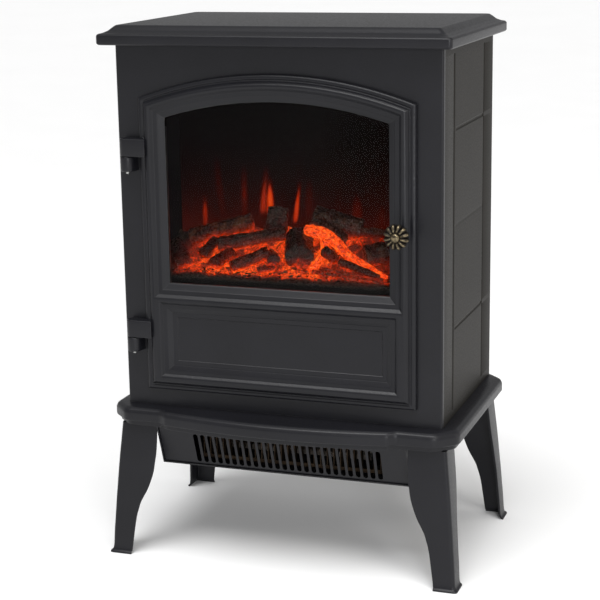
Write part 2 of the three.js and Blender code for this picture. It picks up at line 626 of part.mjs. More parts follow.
// A rod with reflecting vanes set at different angles along it.
function flameSpindle() {
  const { y, z, r, from, to, vanes, shaft, vane } = SPINDLE;
  const parts = [rodX(shaft, y, z, from - 8, to + 18, 12)];
  for (let i = 0; i < vanes; i += 1) {
    const x = from + 10 + ((to - from - 20) * i) / (vanes - 1);
    const plate = new THREE.BoxGeometry(vane.width, vane.thick, 2 * r);
    plate.rotateZ(vane.skew).rotateX(vane.turn * i);
    parts.push(toSolid(plate.translate(x, y, z)));
  }
  return join(...parts);
}
function spindleMotor() {
  const { y, z, to, bore } = SPINDLE;
  const can = rodX(18, y, z, to + 8, to + 26, 20);
  const foot = block(to + 10, to + 24, y - 14, y + 14, LINER.bottom + REST, z - 12);
  return cut(join(can, foot), rodX(bore, y, z, to, to + 20, 12));
}
function spindleBracket() {
  const { y, z, from, bore } = SPINDLE;
  const bottom = LINER.bottom + REST;
  const upright = block(from - 10, from - 7, y - 10, y + 10, bottom, z + 10);
  const foot = block(from - 24, from - 7, y - 10, y + 10, bottom, bottom + 2);
  return cut(join(upright, foot), rodX(bore, y, z, from - 15, from, 12));
}
// The lamp board that lights the spindle and the ember bed: a board with a row of lamps.
const LAMPS = {
  halfW: 150, front: 30.5, back: 47, thick: 1.6, reach: 132, pitch: 24, lampR: 2.5, lampY: 39, lampTop: 6.5,
};
function lampBoard() {
  const { halfW, front, back, thick, reach, pitch, lampR, lampY, lampTop } = LAMPS;
  const bottom = LINER.bottom + REST;
  const board = block(-halfW, halfW, front, back, bottom, bottom + thick);
  const lamps = [];
  for (let x = -reach; x <= reach; x += pitch) {
    lamps.push(rodZ(lampR, x, lampY, bottom + 1, bottom + lampTop, 10));
  }
  return join(board, ...lamps);
}

// ---- door -------------------------------------------------------------------------------------------
// [inset from the door's edge, depth]: a soft flange, a fine groove, then the round rise to the crest
const RIM = [
  [0, DOOR.back], [0, 4.6], [0.8, 6.2], [2.4, 7.2], [4.6, 7.4], [5.6, 6.6], [6.8, 6.8], [8.2, 9.4],
  [10.2, 11.6], [12.2, DOOR.crest],
];
function doorSlab(grow) {
  return loft(RIM.map(([t, depth], i) => onFront(
    archOutline(DOOR.halfW - t + grow, DOOR.bottom + t - grow, DOOR.archR - t + grow),
    depth + (i ? grow : -grow),
  )), [0, 2]);
}

// [distance out from the glass edge, depth]: an inner bevel, a groove and a second bevel up to the crest
const BEVEL = [
  [0, -6], [0, 2.8], [1, 3.6], [6.8, 7.2], [7.6, 7.9], [11.6, 8.3], [12.8, 9.2], [15.6, 11.7],
  [17.4, DOOR.crest], [17.4, 20],
];
const windowCutter = () => loft(BEVEL.map(([s, depth]) => onFront(
  archOutline(WINDOW.halfW + s, WINDOW.bottom - s, WINDOW.archR + s), depth,
)), [0, 2]);

// the same for the lower panel, out from its flat face
const PANEL_EDGE = [
  [0, PANEL.face], [0.8, 4.6], [5.4, 4.9], [6.4, 5.6], [11.4, 8.2], [12.4, 8.5], [15.6, 9],
  [18, 11.4], [19.8, DOOR.crest], [19.8, 20],
];
const panelCutter = () => loft(PANEL_EDGE.map(([s, depth]) => onFront(
  rectangle(-PANEL.halfW - s, PANEL.halfW + s, PANEL.bottom - s, PANEL.top + s), depth,
)), [0, 2]);

const glassOutline = (grow) => archOutline(
  WINDOW.halfW + GLASS.lip + grow, WINDOW.bottom - GLASS.lip - grow, WINDOW.archR + GLASS.lip + grow,
);
const frontSlab = (outline, back, front) => plateXZ(outline, -BODY.halfD - front, -BODY.halfD - back);

function doorFrame() {
  const rebate = frontSlab(glassOutline(GAP), -6, GLASS.front + GAP);
  const y = -BODY.halfD;
  const screwWay = rodY(KNOB_SCREW.hole, KNOB.x, KNOB.z, y - 20, y + CLEAR, 12);
  const screwSeat = rodY(KNOB_SCREW.seat, KNOB.x, KNOB.z, y - DOOR.back - 4, y + CLEAR, 16);
  return cut(doorSlab(0), windowCutter(), panelCutter(), rebate, screwWay, screwSeat);
}

// A U-shaped spring frame of Z section that holds the glass by its two upright edges and its lower edge.
function glassRetainer() {
  const y = -BODY.halfD;
  const { halfW, bottom } = WINDOW;
  // a U from one distance outside the window to another, between two depths
  const band = (inner, outer, back, front, top) => cut(
    block(-halfW - outer, halfW + outer, y - front, y - back, bottom - outer, top),
    block(-halfW - inner, halfW + inner, y - 20, y + 20, bottom - inner, top + 5),
  );
  const top = 500;
  return join(
    band(GLASS.lip + 0.7, 10.8, -1, DOOR.back - GAP, top),
    band(GLASS.lip + 0.7, GLASS.lip + 2, -3, DOOR.back - GAP, top),
    band(0.6, GLASS.lip + 2, -3, GLASS.back - GAP, top),
  );
}

function doorKnob() {
  // [radius, distance forward from the crest, petal depth]: foot, neck, petalled head, centre button
  const stations = [
    [8, 0.3, 0], [8, 2, 0], [5, 4.5, 0], [4.6, 9, 0], [8, 12, 0], [12.8, 14.5, 0.1], [KNOB.r, 17, 0.12],
    [13, 20, 0.12], [9, 22.4, 0.08], [5, 23, 0.03], [4.2, 23.4, 0], [3.6, KNOB.reach - 0.6, 0],
    [1.6, KNOB.reach, 0],
  ];
  const sides = 3 * KNOB.petals;
  const crestY = -BODY.halfD - DOOR.crest;
  const rings = stations.map(([radius, forward, petal]) => Array.from({ length: sides }, (_, i) => {
    const angle = (2 * Math.PI * i) / sides;
    const r = radius * (1 - petal * (1 - Math.abs(Math.cos((KNOB.petals * angle) / 2))));
    return [KNOB.x + r * Math.cos(angle), crestY - forward, KNOB.z + r * Math.sin(angle)];
  }));
  return cut(loft(rings, [0, 2]), rodY(KNOB_SCREW.hole, KNOB.x, KNOB.z, crestY - 10, crestY + CLEAR, 12));
}
// The catch: a magnet in the mouth of the control box that holds the door's steel edge.
const MAGNET = { inner: 129.5, back: -99, low: 262, high: 284 };
function doorMagnet() {
  const { inner, back, low, high } = MAGNET;
  const face = -BODY.halfD + GAP;
  return join(
    block(inner, OPENING.halfW - GAP, face, back, low, high),
    block(inner, CONTROLS.halfW - SHEET - GAP, CONTROLS.front, back, low, high),
  );
}
function knobScrew() {
  const y = -BODY.halfD - DOOR.back;
  const { r, head } = KNOB_SCREW;
  return join(rodY(head, KNOB.x, KNOB.z, y - 3.6, y - 1, 16), rodY(r, KNOB.x, KNOB.z, y - 21, y - 1, 12));
}

// The door's half of a hinge: a barrel round the pin and a strap over the door's edge.
function hingeArm(z) {
  const { x, y, r, bore, armH, strapEnd } = HINGE;
  const barrel = rodZ(r, x, y, z, z + armH);
  const strap = block(x, strapEnd, y - r, y + 2, z, z + armH);
  return cut(join(barrel, strap), doorSlab(GAP), rodZ(bore, x, y, z - CLEAR, z + armH - 3));
}
// The body's half: a barrel below the arm, with a foot on the front panel.
function hingeKnuckle(z) {
  const { x, y, r, bore, knuckleH } = HINGE;
  const [low, high] = [z - GAP - knuckleH, z - GAP];
  const back = -BODY.halfD - GAP;
  const barrel = rodZ(r, x, y, low, high);
  const foot = block(x - r, x + r + 1.6, y + 2, back, low, high);
  const behind = block(x - 2 * r, x + 2 * r, back, back + 2 * r, low - CLEAR, high + CLEAR);
  return cut(join(barrel, foot), behind, rodZ(bore, x, y, low - CLEAR, high + CLEAR));
}
const hingePin = (z) => rodZ(HINGE.pinR, HINGE.x, HINGE.y, z - HINGE.knuckleH - 3, z + HINGE.armH - 4);

// ---- putting it together ----------------------------------------------------------------------------
add('top_cap', topCap(), 'bodyPaint');
add('front_panel', frontPanel(), 'bodyPaint');
add('side_panel_left', sidePanel(-1), 'bodyPaint');
add('side_panel_right', sidePanel(1), 'bodyPaint');
add('back_panel', backPanel(), 'bodyPaint');
add('cord_inlet', cordInlet(), 'plastic');
add('base_plate', basePlate(), 'bodyPaint');
add('base_tray', baseTray(), 'innerBlack');
CORNERS.forEach(([place, side, end]) => {
  add(`leg_${place}`, leg(side, end), 'bodyPaint');
  add(`leg_screw_${place}`, legScrew(side, end), 'plainSteel');
});

add('heater_housing', heaterHousing(), 'bodyPaint');
add('heater_grille', heaterGrille(), 'bodyPaint');
add('heating_element', heatingElement(), 'aluminium');
add('fan_impeller', fanImpeller(), 'aluminium');
add('fan_motor', fanMotor(), 'plainSteel');
add('thermal_cutout', thermalCutout(), 'plastic');

add('control_box', controlBox(), 'innerBlack');
Object.entries(SWITCH_X).forEach(([name, x]) => {
  add(name, rocker(x), 'plastic');
  add(`${name}_housing`, switchHousing(x), 'plastic');
});
add('thermostat_dial', thermostatDial(), 'plastic');
add('thermostat_body', thermostatBody(), 'plainSteel');

add('firebox_liner', fireboxLiner(), 'innerBlack');
emberPieces().forEach(([name, solid]) => add(name, solid, name === 'ember_bed' ? 'ember' : 'log'));
add('flame_screen', flameScreen(), 'screen');
add('flame_template', flameTemplate(), 'innerBlack');
add('flame_spindle', flameSpindle(), 'aluminium');
add('spindle_motor', spindleMotor(), 'plainSteel');
add('spindle_bracket', spindleBracket(), 'plainSteel');
add('lamp_board', lampBoard(), 'board');

add('door_frame', doorFrame(), 'castPaint');
add('door_glass', frontSlab(glassOutline(0), GLASS.back, GLASS.front), 'glass');
add('glass_retainer', glassRetainer(), 'plainSteel');
add('door_knob', doorKnob(), 'brass');
add('knob_screw', knobScrew(), 'plainSteel');
add('door_magnet', doorMagnet(), 'plainSteel');
Object.entries(HINGE_Z).forEach(([place, z]) => {
  add(`hinge_arm_${place}`, hingeArm(z), 'castPaint');
  add(`hinge_knuckle_${place}`, hingeKnuckle(z), 'castPaint');
  add(`hinge_pin_${place}`, hingePin(z), 'plainSteel');
});

// Everything above is placed about the body's middle; the origin is the middle of the whole object's box.
const bounds = new THREE.Box3().setFromObject(stove);
const middleY = (bounds.min.y + bounds.max.y) / 2;
stove.position.set(0, -Math.round(middleY * 10) / 10, 0);
stove.updateMatrixWorld(true);

export default stove;
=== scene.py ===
"""Electric stove heater: the fine model, built round the stove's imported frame.

Lengths are in millimetres, and pieces are written into Blender in metres. The settings' own
lengths are in metres, as Blender keeps them.
"""
import math
from random import Random

import bmesh
import bpy
from mathutils import Matrix, Vector, geometry, noise


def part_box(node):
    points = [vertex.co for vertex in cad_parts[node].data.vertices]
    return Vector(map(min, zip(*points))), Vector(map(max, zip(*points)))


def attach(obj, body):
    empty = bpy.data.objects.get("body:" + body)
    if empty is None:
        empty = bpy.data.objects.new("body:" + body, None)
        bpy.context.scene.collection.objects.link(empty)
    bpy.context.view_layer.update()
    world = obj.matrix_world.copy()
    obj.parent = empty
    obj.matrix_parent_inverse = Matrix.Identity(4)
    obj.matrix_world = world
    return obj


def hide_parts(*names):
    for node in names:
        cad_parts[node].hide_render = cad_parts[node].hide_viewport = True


bl_info = {
    "name": "Electric stove heater",
    "version": (1, 0, 0),
    "blender": (4, 5, 0),
    "location": "View3D > Sidebar > Stove",
    "description": "Builds an electric stove heater with its ember bed, door and fan heater",
    "category": "Add Mesh",
}

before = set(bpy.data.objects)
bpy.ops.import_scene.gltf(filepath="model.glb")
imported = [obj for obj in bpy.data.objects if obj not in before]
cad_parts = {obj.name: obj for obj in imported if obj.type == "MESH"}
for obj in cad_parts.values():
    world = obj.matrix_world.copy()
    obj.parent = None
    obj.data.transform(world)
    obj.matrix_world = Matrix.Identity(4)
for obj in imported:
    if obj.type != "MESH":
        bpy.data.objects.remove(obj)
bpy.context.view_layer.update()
MM = 0.001


def box(node):
    """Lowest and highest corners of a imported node, in millimetres."""
    low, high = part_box(node)
    return low / MM, high / MM


def near_centre(node):
    """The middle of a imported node's box, seen from the front, at its nearest depth."""
    low, high = box(node)
    return ((low.x + high.x) / 2, low.y, (low.z + high.z) / 2)


# ---- settings -------------------------------------------------------------------------------------
def colour(title, text, value):
    return bpy.props.FloatVectorProperty(
        name=title, description=text, subtype="COLOR", size=4, min=0, max=1, default=(*value, 1))


def length(title, text, value):
    return bpy.props.FloatProperty(
        name=title, description=text, unit="LENGTH", min=0, precision=4, default=value * MM)


def share(title, text, value, highest=1.0):
    return bpy.props.FloatProperty(
        name=title, description=text, subtype="FACTOR", min=0, max=highest, default=value)


class StageSettings(bpy.types.PropertyGroup):
    azimuth: bpy.props.FloatProperty(
        name="Azimuth", description="Turn of the camera round the stove, from the front",
        subtype="ANGLE", unit="ROTATION", default=math.radians(19.396))
    elevation: bpy.props.FloatProperty(
        name="Elevation", description="Height of the camera as an angle",
        subtype="ANGLE", unit="ROTATION", default=math.radians(13.402))
    roll: bpy.props.FloatProperty(
        name="Roll", description="Tilt of the camera about its own line of sight",
        subtype="ANGLE", unit="ROTATION", default=math.radians(-0.923))
    distance: length("Distance", "From the camera to the point that it looks at", 1929.4)
    lens: bpy.props.FloatProperty(
        name="Lens", description="Focal length on a 36 mm sensor", unit="CAMERA", default=98.7)
    floor: colour("Floor", "Colour of the pale floor", (0.86, 0.86, 0.86))
    sky: share("Room light", "Strength of the even white light of the room", 0.42, 4.0)
    ceiling: share("Ceiling light", "Strength of the wide soft light from above", 2.7, 8.0)


class ShellSettings(bpy.types.PropertyGroup):
    paint: colour("Paint", "Colour of the stove's powder coat", (0.0078, 0.0078, 0.0098))
    # The side paint is a lighter, warmer copy of the same coat: painted light from the lamp on the right.
    side: colour("Lit side paint", "Colour of the same coat on the lighter-painted side sheets", (0.014, 0.0125, 0.0105))
    # Lighter colour along the edges: partly paint wear, partly a painted highlight.
    edge_wear_and_highlight: colour("Worn and highlit paint", "Colour of the paint along its edges", (0.075, 0.073, 0.072))
    grain: length("Paint grain", "Width of the fine texture in the powder coat", 0.9)
    bend: length("Bend radius", "Outer radius of the body's folded corners", 2.4)
    groove: length("Groove depth", "Depth of the grooves pressed in the sides", 1.3)
    slots: bpy.props.IntProperty(
        name="Grille slots", description="Number of slots in the heater's grille", default=26, min=1)


class DoorSettings(bpy.types.PropertyGroup):
    paint: colour("Cast paint", "Colour of the cast door and its hinges", (0.0078, 0.0078, 0.0098))
    brass: colour("Brass", "Colour of the knob where it is rubbed bright", (0.24, 0.19, 0.11))
    patina: colour("Patina", "Colour of the knob in its hollows", (0.018, 0.015, 0.012))
    petals: bpy.props.IntProperty(
        name="Petals", description="Number of petals round the knob", default=12, min=3)
    smoke: share("Glass tint", "Share of light that the glass lets through", 0.86)


class FireSettings(bpy.types.PropertyGroup):
    glow: share("Glow", "Strength of the light in the ember bed", 1.75, 6.0)
    flames: share("Flames", "Strength of the flames on the screen", 0.9, 6.0)
    ash: colour("Ash", "Colour of the grit along the front of the bed", (0.115, 0.092, 0.072))
    char: colour("Char", "Colour of the burnt bark", (0.007, 0.006, 0.0055))
    bark: colour("Bark", "Colour of the bark where it isn't burnt through", (0.17, 0.07, 0.035))
    seed: bpy.props.IntProperty(
        name="Seed", description="Start of the bark's and the bed's texture", default=4)


# ---- lines and outlines ---------------------------------------------------------------------------
def mixed(a, b, t):
    return a + (b - a) * t


def eased_step(t):
    """0 to 1 with a soft start and end."""
    t = min(max(t, 0.0), 1.0)
    return t * t * (3 - 2 * t)


def turned(before, corner, after, radius, steps):
    """The short curve that rounds one corner of a line."""
    a, b, c = Vector(before), Vector(corner), Vector(after)
    reach = min(radius, (a - b).length * 0.45, (c - b).length * 0.45)
    start = b + (a - b).normalized() * reach
    end = b + (c - b).normalized() * reach
    curve = []
    for i in range(steps + 1):
        t = i / steps
        curve.append(tuple(start * (1 - t) ** 2 + b * 2 * t * (1 - t) + end * t * t))
    return curve


def eased(points, radius=0.7, steps=3):
    """An open line with its corners rounded."""
    line = [tuple(points[0])]
    for before, corner, after in zip(points, points[1:], points[2:]):
        line += turned(before, corner, after, radius, steps)
    return line + [tuple(points[-1])]


def eased_loop(points, radii, steps=4):
    """A closed outline with its corners rounded, each to its own radius."""
    loop = []
    count = len(points)
    for i, radius in enumerate(radii):
        loop += turned(points[i - 1], points[i], points[(i + 1) % count], radius, steps)
    return loop


def rectangle(x0, x1, y0, y1):
    return [(x0, y0), (x1, y0), (x1, y1), (x0, y1)]


def round_points(x, y, radius, angles):
    """Points on a circle about (x, y), at angles in radians."""
    return [(x + radius * math.cos(a), y + radius * math.sin(a)) for a in angles]


def slot_outline(x, low, high, half, steps=6):
    """An upright slot with round ends."""
    points = []
    for middle, first in ((low + half, 180), (high - half, 0)):
        angles = [math.radians(first + 180 * i / steps) for i in range(steps + 1)]
        points += round_points(x, middle, half, angles)
    return points


def through(levels, steps):
    """Rows of numbers with smooth rows filled in between them."""
    rows = []
    last = len(levels) - 1
    for i in range(last):
        p0, p1, p2, p3 = (levels[min(max(i + k, 0), last)] for k in (-1, 0, 1, 2))
        for s in range(steps):
            t = s / steps
            rows.append([
                0.5 * (2 * b + (c - a) * t + (2 * a - 5 * b + 4 * c - d) * t ** 2
                       + (3 * b - a - 3 * c + d) * t ** 3)
                for a, b, c, d in zip(p0, p1, p2, p3)])
    return rows + [list(levels[last])]


# ---- shapes: lists of points and of faces ---------------------------------------------------------
def joined(*shapes):
    points, faces = [], []
    for some_points, some_faces in shapes:
        first = len(points)
        points += some_points
        faces += [tuple(i + first for i in face) for face in some_faces]
    return points, faces


def loft(rings, caps=True, closed=True):
    """A skin through rings of equal count."""
    count = len(rings[0])
    faces = []
    for r in range(len(rings) - 1):
        for i in range(count if closed else count - 1):
            a = r * count + i
            b = r * count + (i + 1) % count
            faces.append((a, b, b + count, a + count))
    if caps:
        last = (len(rings) - 1) * count
        faces.append(tuple(reversed(range(count))))
        faces.append(tuple(range(last, last + count)))
    return [point for ring in rings for point in ring], faces


def grid(columns, rows):
    """The faces over a grid of points that are counted along each row in turn."""
    wide = columns + 1
    corners = [r * wide + c for r in range(rows) for c in range(columns)]
    return [(a, a + 1, a + wide + 1, a + wide) for a in corners]


def flat(loops, place):
    """A flat face with holes: the first loop is its edge. place puts (a, b) in space."""
    triangles = geometry.tessellate_polygon([[Vector((a, b, 0)) for a, b in loop] for loop in loops])
    return [place(a, b) for loop in loops for a, b in loop], [tuple(t) for t in triangles]


def plate(outline, holes, near, far, place, walls=lambda p, q: True):
    """A sheet with holes between two depths. place(a, b, depth) puts a point in space."""
    loops = [outline, *holes]
    faces = joined(flat(loops, lambda a, b: place(a, b, near)), flat(loops, lambda a, b: place(a, b, far)))
    sides = []
    for loop in loops:
        for p, q in zip(loop, loop[1:] + loop[:1]):
            if walls(p, q):
                corners = [place(*p, near), place(*q, near), place(*q, far), place(*p, far)]
                sides.append((corners, [(0, 1, 2, 3)]))
    return joined(faces, *sides)


def upright(a, b, depth):
    """In a front or rear sheet, a point at (x, z) and its depth."""
    return (a, depth, b)


def level(a, b, height):
    return (a, b, height)


def block(low, high):
    """A plain block, for pieces whose edges a bevel then rounds."""
    return plate(rectangle(low[0], high[0], low[1], high[1]), [], low[2], high[2], level)


def sheet_strip(line, thick, x0, x1):
    """Sheet metal folded along a (y, z) line and running from x0 to x1."""
    inner = []
    for i, point in enumerate(line):
        here = Vector(point)
        before = (here - Vector(line[i - 1])).normalized() if i else None
        after = (Vector(line[i + 1]) - here).normalized() if i + 1 < len(line) else None
        way = ((before or after) + (after or before)).normalized()
        square = Vector((-way.y, way.x))
        lead = before or after
        inner.append(tuple(here + square * thick / abs(Vector((-lead.y, lead.x)).dot(square))))
    section = list(line) + inner[::-1]
    return loft([[(x, y, z) for y, z in section] for x in (x0, x1)])


def lathe(stations, centre, axis, sides=64, wave=None):
    """A turned piece: (distance along the axis, radius) from one end to the other."""
    along = Vector(axis).normalized()
    across = along.orthogonal().normalized()
    third = along.cross(across)
    rings = []
    for k, (reach, radius) in enumerate(stations):
        ring = []
        for i in range(sides):
            angle = 2 * math.pi * i / sides
            r, lift = (radius, 0.0) if wave is None else wave(k, angle, radius)
            spoke = across * math.cos(angle) + third * math.sin(angle)
            ring.append(tuple(Vector(centre) + along * (reach + lift) + spoke * r))
        rings.append(ring)
    return loft(rings)


# ---- pieces ---------------------------------------------------------------------------------------
def piece(name, shape, finish, body, slot, stands_for=(), bevel=0.0, sharp=38.0, marks=None):
    """A finished piece in the scene. marks are numbers on its points that the finish reads."""
    points, faces = shape
    mesh = bpy.data.meshes.new(name)
    mesh.from_pydata([Vector(p) * MM for p in points], [], faces)
    tidy = bmesh.new()
    tidy.from_mesh(mesh)
    if marks is None:
        bmesh.ops.remove_doubles(tidy, verts=tidy.verts, dist=2e-6)
    bmesh.ops.recalc_face_normals(tidy, faces=tidy.faces)
    tidy.to_mesh(mesh)
    tidy.free()
    for mark, values in (marks or {}).items():
        mesh.attributes.new(mark, "FLOAT", "POINT").data.foreach_set("value", values)
    mesh.shade_smooth()
    if not bevel:
        mesh.set_sharp_from_angle(angle=math.radians(sharp))
    mesh.materials.append(finish)
    made = bpy.data.objects.new(name, mesh)
    bpy.context.scene.collection.objects.link(made)
    if bevel:
        edge = made.modifiers.new("Edges", "BEVEL")
        edge.width = bevel * MM
        edge.segments = 3
        edge.limit_method = "ANGLE"
        edge.angle_limit = math.radians(sharp)
        edge.harden_normals = True
    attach(made, body)
    if stands_for:
        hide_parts(*stands_for)
    return made


# ---- finishes -------------------------------------------------------------------------------------
class Finish:
    """A material in the making: its shader, and the nodes that feed it."""

    def __init__(self, name):
        self.material = bpy.data.materials.new(name)
        self.material.use_nodes = True
        self.tree = self.material.node_tree
        self.shader = self.tree.nodes["Principled BSDF"]
        self.place = self.node("TexCoord").outputs["Object"]

    def feed(self, socket, value):
        if isinstance(value, bpy.types.NodeSocket):
            self.tree.links.new(value, socket)
        else:
            socket.default_value = value

    def node(self, kind, inputs=None, **settings):
        made = self.tree.nodes.new("ShaderNode" + kind)
        for key, value in settings.items():
            setattr(made, key, value)
        for key, value in (inputs or {}).items():
            self.feed(made.inputs[key], value)
        return made

    def noise(self, size, detail=2.0, stretch=(1, 1, 1), rough=0.55, twist=0.0):
        """Cloudy grain whose lumps are about size millimetres wide."""
        place = self.node("Mapping", {"Vector": self.place, "Scale": stretch}).outputs[0]
        made = self.node("TexNoise", {
            "Vector": place, "Scale": 1 / (size * MM), "Detail": detail, "Roughness": rough,
            "Distortion": twist})
        return made.outputs["Fac"]

    def cells(self, size):
        """Distance to the nearest grain of grit of about size millimetres."""
        return self.node("TexVoronoi", {"Vector": self.place, "Scale": 1 / (size * MM)}).outputs["Distance"]

    def mark(self, name):
        return self.node("Attribute", attribute_name=name).outputs["Fac"]

    def span(self, value, low, high, to_low=0.0, to_high=1.0):
        return self.node("MapRange", {
            "Value": value, "From Min": low, "From Max": high, "To Min": to_low,
            "To Max": to_high}).outputs[0]

    def sum(self, operation, a, b):
        made = self.node("Math", operation=operation)
        self.feed(made.inputs[0], a)
        self.feed(made.inputs[1], b)
        return made.outputs[0]

    def mix(self, amount, a, b):
        made = self.node("Mix", data_type="RGBA")
        for index, value in ((0, amount), (6, a), (7, b)):
            self.feed(made.inputs[index], value)
        return made.outputs[2]

    def ramp(self, value, stops):
        made = self.node("ValToRGB", {"Fac": value})
        band = made.color_ramp
        while len(band.elements) < len(stops):
            band.elements.new(0.5)
        for element, (at, tone) in zip(band.elements, stops):
            element.position = at
            element.color = (*tone[:3], 1)
        return made.outputs["Color"]

    def bump(self, height, depth, below=None):
        """Relief of about depth millimetres, on top of the relief below."""
        made = self.node("Bump", {"Height": height, "Distance": depth * MM, "Strength": 1.0})
        if below is not None:
            self.feed(made.inputs["Normal"], below)
        return made.outputs["Normal"]

    def set(self, **values):
        for key, value in values.items():
            self.feed(self.shader.inputs[key.replace("_", " ")], value)
        return self.material


def tone(value, amount):
    """A colour made lighter or darker."""
    return (*(min(1.0, c * amount) for c in value[:3]), 1)


def edges(f, width=0.9, low=0.02, high=0.16):
    """Where an edge is less than width millimetres away: where paint wears, and where a painted highlight
    lightens the edge.
    """
    soft = f.node("Bevel", {"Radius": width * MM}, samples=6)
    true = f.node("NewGeometry")
    alike = f.node("VectorMath", operation="DOT_PRODUCT")
    f.feed(alike.inputs[0], soft.outputs[0])
    f.feed(alike.inputs[1], true.outputs["Normal"])
    return f.span(f.sum("SUBTRACT", 1.0, alike.outputs["Value"]), low, high)


def powder_coat(name, paint, edge_wear_and_highlight, grain, depth=0.03, rough=0.38, shine=0.25):
    f = Finish(name)
    fine = f.noise(grain, 3.0)
    cloud = f.noise(70, 2.0)
    base = f.mix(f.span(cloud, 0.3, 0.7), tone(paint, 0.88), tone(paint, 1.14))
    base = f.mix(f.span(fine, 0.52, 0.72, 0.0, 0.3), base, tone(paint, 2.1))
    # Lighter edges, in patches: partly worn paint, partly a painted highlight.
    rubbed_and_highlit = f.sum("MULTIPLY", edges(f), f.span(f.noise(6, 3.0), 0.35, 0.75, 0.1, 0.8))
    base = f.mix(rubbed_and_highlit, base, edge_wear_and_highlight)
    return f.set(
        Base_Color=base, Roughness=f.span(f.noise(grain * 2.2, 2.0), 0.3, 0.7, rough - 0.06, rough + 0.06),
        Specular_IOR_Level=shine, Normal=f.bump(fine, depth, f.bump(f.noise(grain * 5, 1.0), depth * 1.4)))


def dull_black(name):
    f = Finish(name)
    base = f.ramp(f.noise(9, 4.0), [(0.3, (0.006, 0.006, 0.006)), (0.75, (0.016, 0.015, 0.015))])
    return f.set(
        Base_Color=base, Roughness=f.span(f.noise(1.4), 0.3, 0.7, 0.72, 0.9), Specular_IOR_Level=0.12,
        Normal=f.bump(f.noise(0.7), 0.04))


def bare_metal(name, light, dark, rough, stretch=(1, 1, 12)):
    f = Finish(name)
    brushed = f.noise(1.1, 4.0, stretch)
    base = f.mix(f.span(f.noise(18, 3.0), 0.3, 0.7), light, dark)
    return f.set(
        Base_Color=f.mix(f.span(brushed, 0.4, 0.75, 0, 0.5), base, tone(dark, 0.6)), Metallic=1.0,
        Roughness=f.span(brushed, 0.3, 0.7, rough - 0.08, rough + 0.12), Normal=f.bump(brushed, 0.012))


def moulded_plastic(name, shade):
    f = Finish(name)
    spark = f.noise(0.5, 2.0)
    base = f.mix(f.span(f.noise(14, 2.0), 0.3, 0.7), tone(shade, 0.85), tone(shade, 1.2))
    # Lighter edges: partly wear, partly a painted highlight along them.
    base = f.mix(f.sum("MULTIPLY", edges(f), 0.5), base, tone(shade, 3.2))
    return f.set(Base_Color=base, Roughness=f.span(spark, 0.3, 0.7, 0.38, 0.55), Normal=f.bump(spark, 0.02))


def old_brass(settings):
    f = Finish("Old brass")
    height = f.span(f.mark("proud"), 0.6, 1.0)
    patches = f.span(f.noise(2.6, 4.0), 0.3, 0.68)
    bright = f.sum("MULTIPLY", height, patches)
    return f.set(
        Base_Color=f.mix(bright, settings.patina, settings.brass), Metallic=0.9,
        Roughness=f.span(bright, 0, 1, 0.46, 0.2), Normal=f.bump(f.noise(0.9, 3.0), 0.03))


def smoked_glass(settings):
    f = Finish("Smoked glass")
    tree = f.tree
    smoke = settings.smoke
    through_light = f.node("BsdfTransparent", {"Color": (smoke, smoke * 0.99, smoke * 0.97, 1)})
    haze = f.span(f.noise(45, 3.0), 0.3, 0.7, 0.02, 0.06)
    sheen = f.node("BsdfGlossy", {"Color": (0.07, 0.07, 0.075, 1), "Roughness": haze})
    mirror = f.node("Fresnel", {"IOR": 1.45})
    both = f.node("MixShader", {0: mirror.outputs[0], 1: through_light.outputs[0], 2: sheen.outputs[0]})
    tree.links.new(both.outputs[0], tree.nodes["Material Output"].inputs["Surface"])
    tree.nodes.remove(f.shader)
    return f.material


# Colours of the painted glow, from dark to bright orange: emission on parts that are no lamps.
GLOW_COLOURS = [
    (0.0, (0, 0, 0)), (0.22, (0.08, 0.003, 0.0)), (0.5, (0.62, 0.03, 0.001)), (0.8, (1.0, 0.09, 0.004)),
    (1.0, (1.0, 0.2, 0.02))]


def burnt_bark(settings, name="Charred bark"):
    f = Finish(name)
    fibres = f.noise(1.5, 4.0, rough=0.62, twist=0.6)
    patches = f.span(f.noise(8, 3.0), 0.42, 0.62)
    # Brown where the bark mark is high: partly bark colour, partly painted reddish light on the back logs.
    base = f.mix(f.sum("MULTIPLY", patches, f.mark("bark")), settings.char, settings.bark)
    base = f.mix(f.span(fibres, 0.58, 0.74, 0, 0.55), base, tone(settings.bark, 1.5))
    # Sparse light cream flecks: painted glints on the bark.
    base = f.mix(f.span(f.noise(1.3, 5.0, rough=0.7), 0.6, 0.66, 0, 0.8), base, (0.55, 0.42, 0.28, 1))
    # heat is painted glow: emission on the bark, stronger in its fibres.
    heat = f.sum("MULTIPLY", f.mark("painted_glow"), f.span(f.noise(2.4, 4.0, twist=0.8), 0.3, 0.66, 0.3, 1.15))
    return f.set(
        Base_Color=base, Roughness=f.span(f.noise(3.2, 2.0), 0.35, 0.65, 0.12, 0.4), Specular_IOR_Level=0.8,
        Emission_Color=f.ramp(heat, GLOW_COLOURS), Emission_Strength=settings.glow,
        Normal=f.bump(fibres, 1.1, f.bump(f.noise(4.5, 3.0), 1.6)))


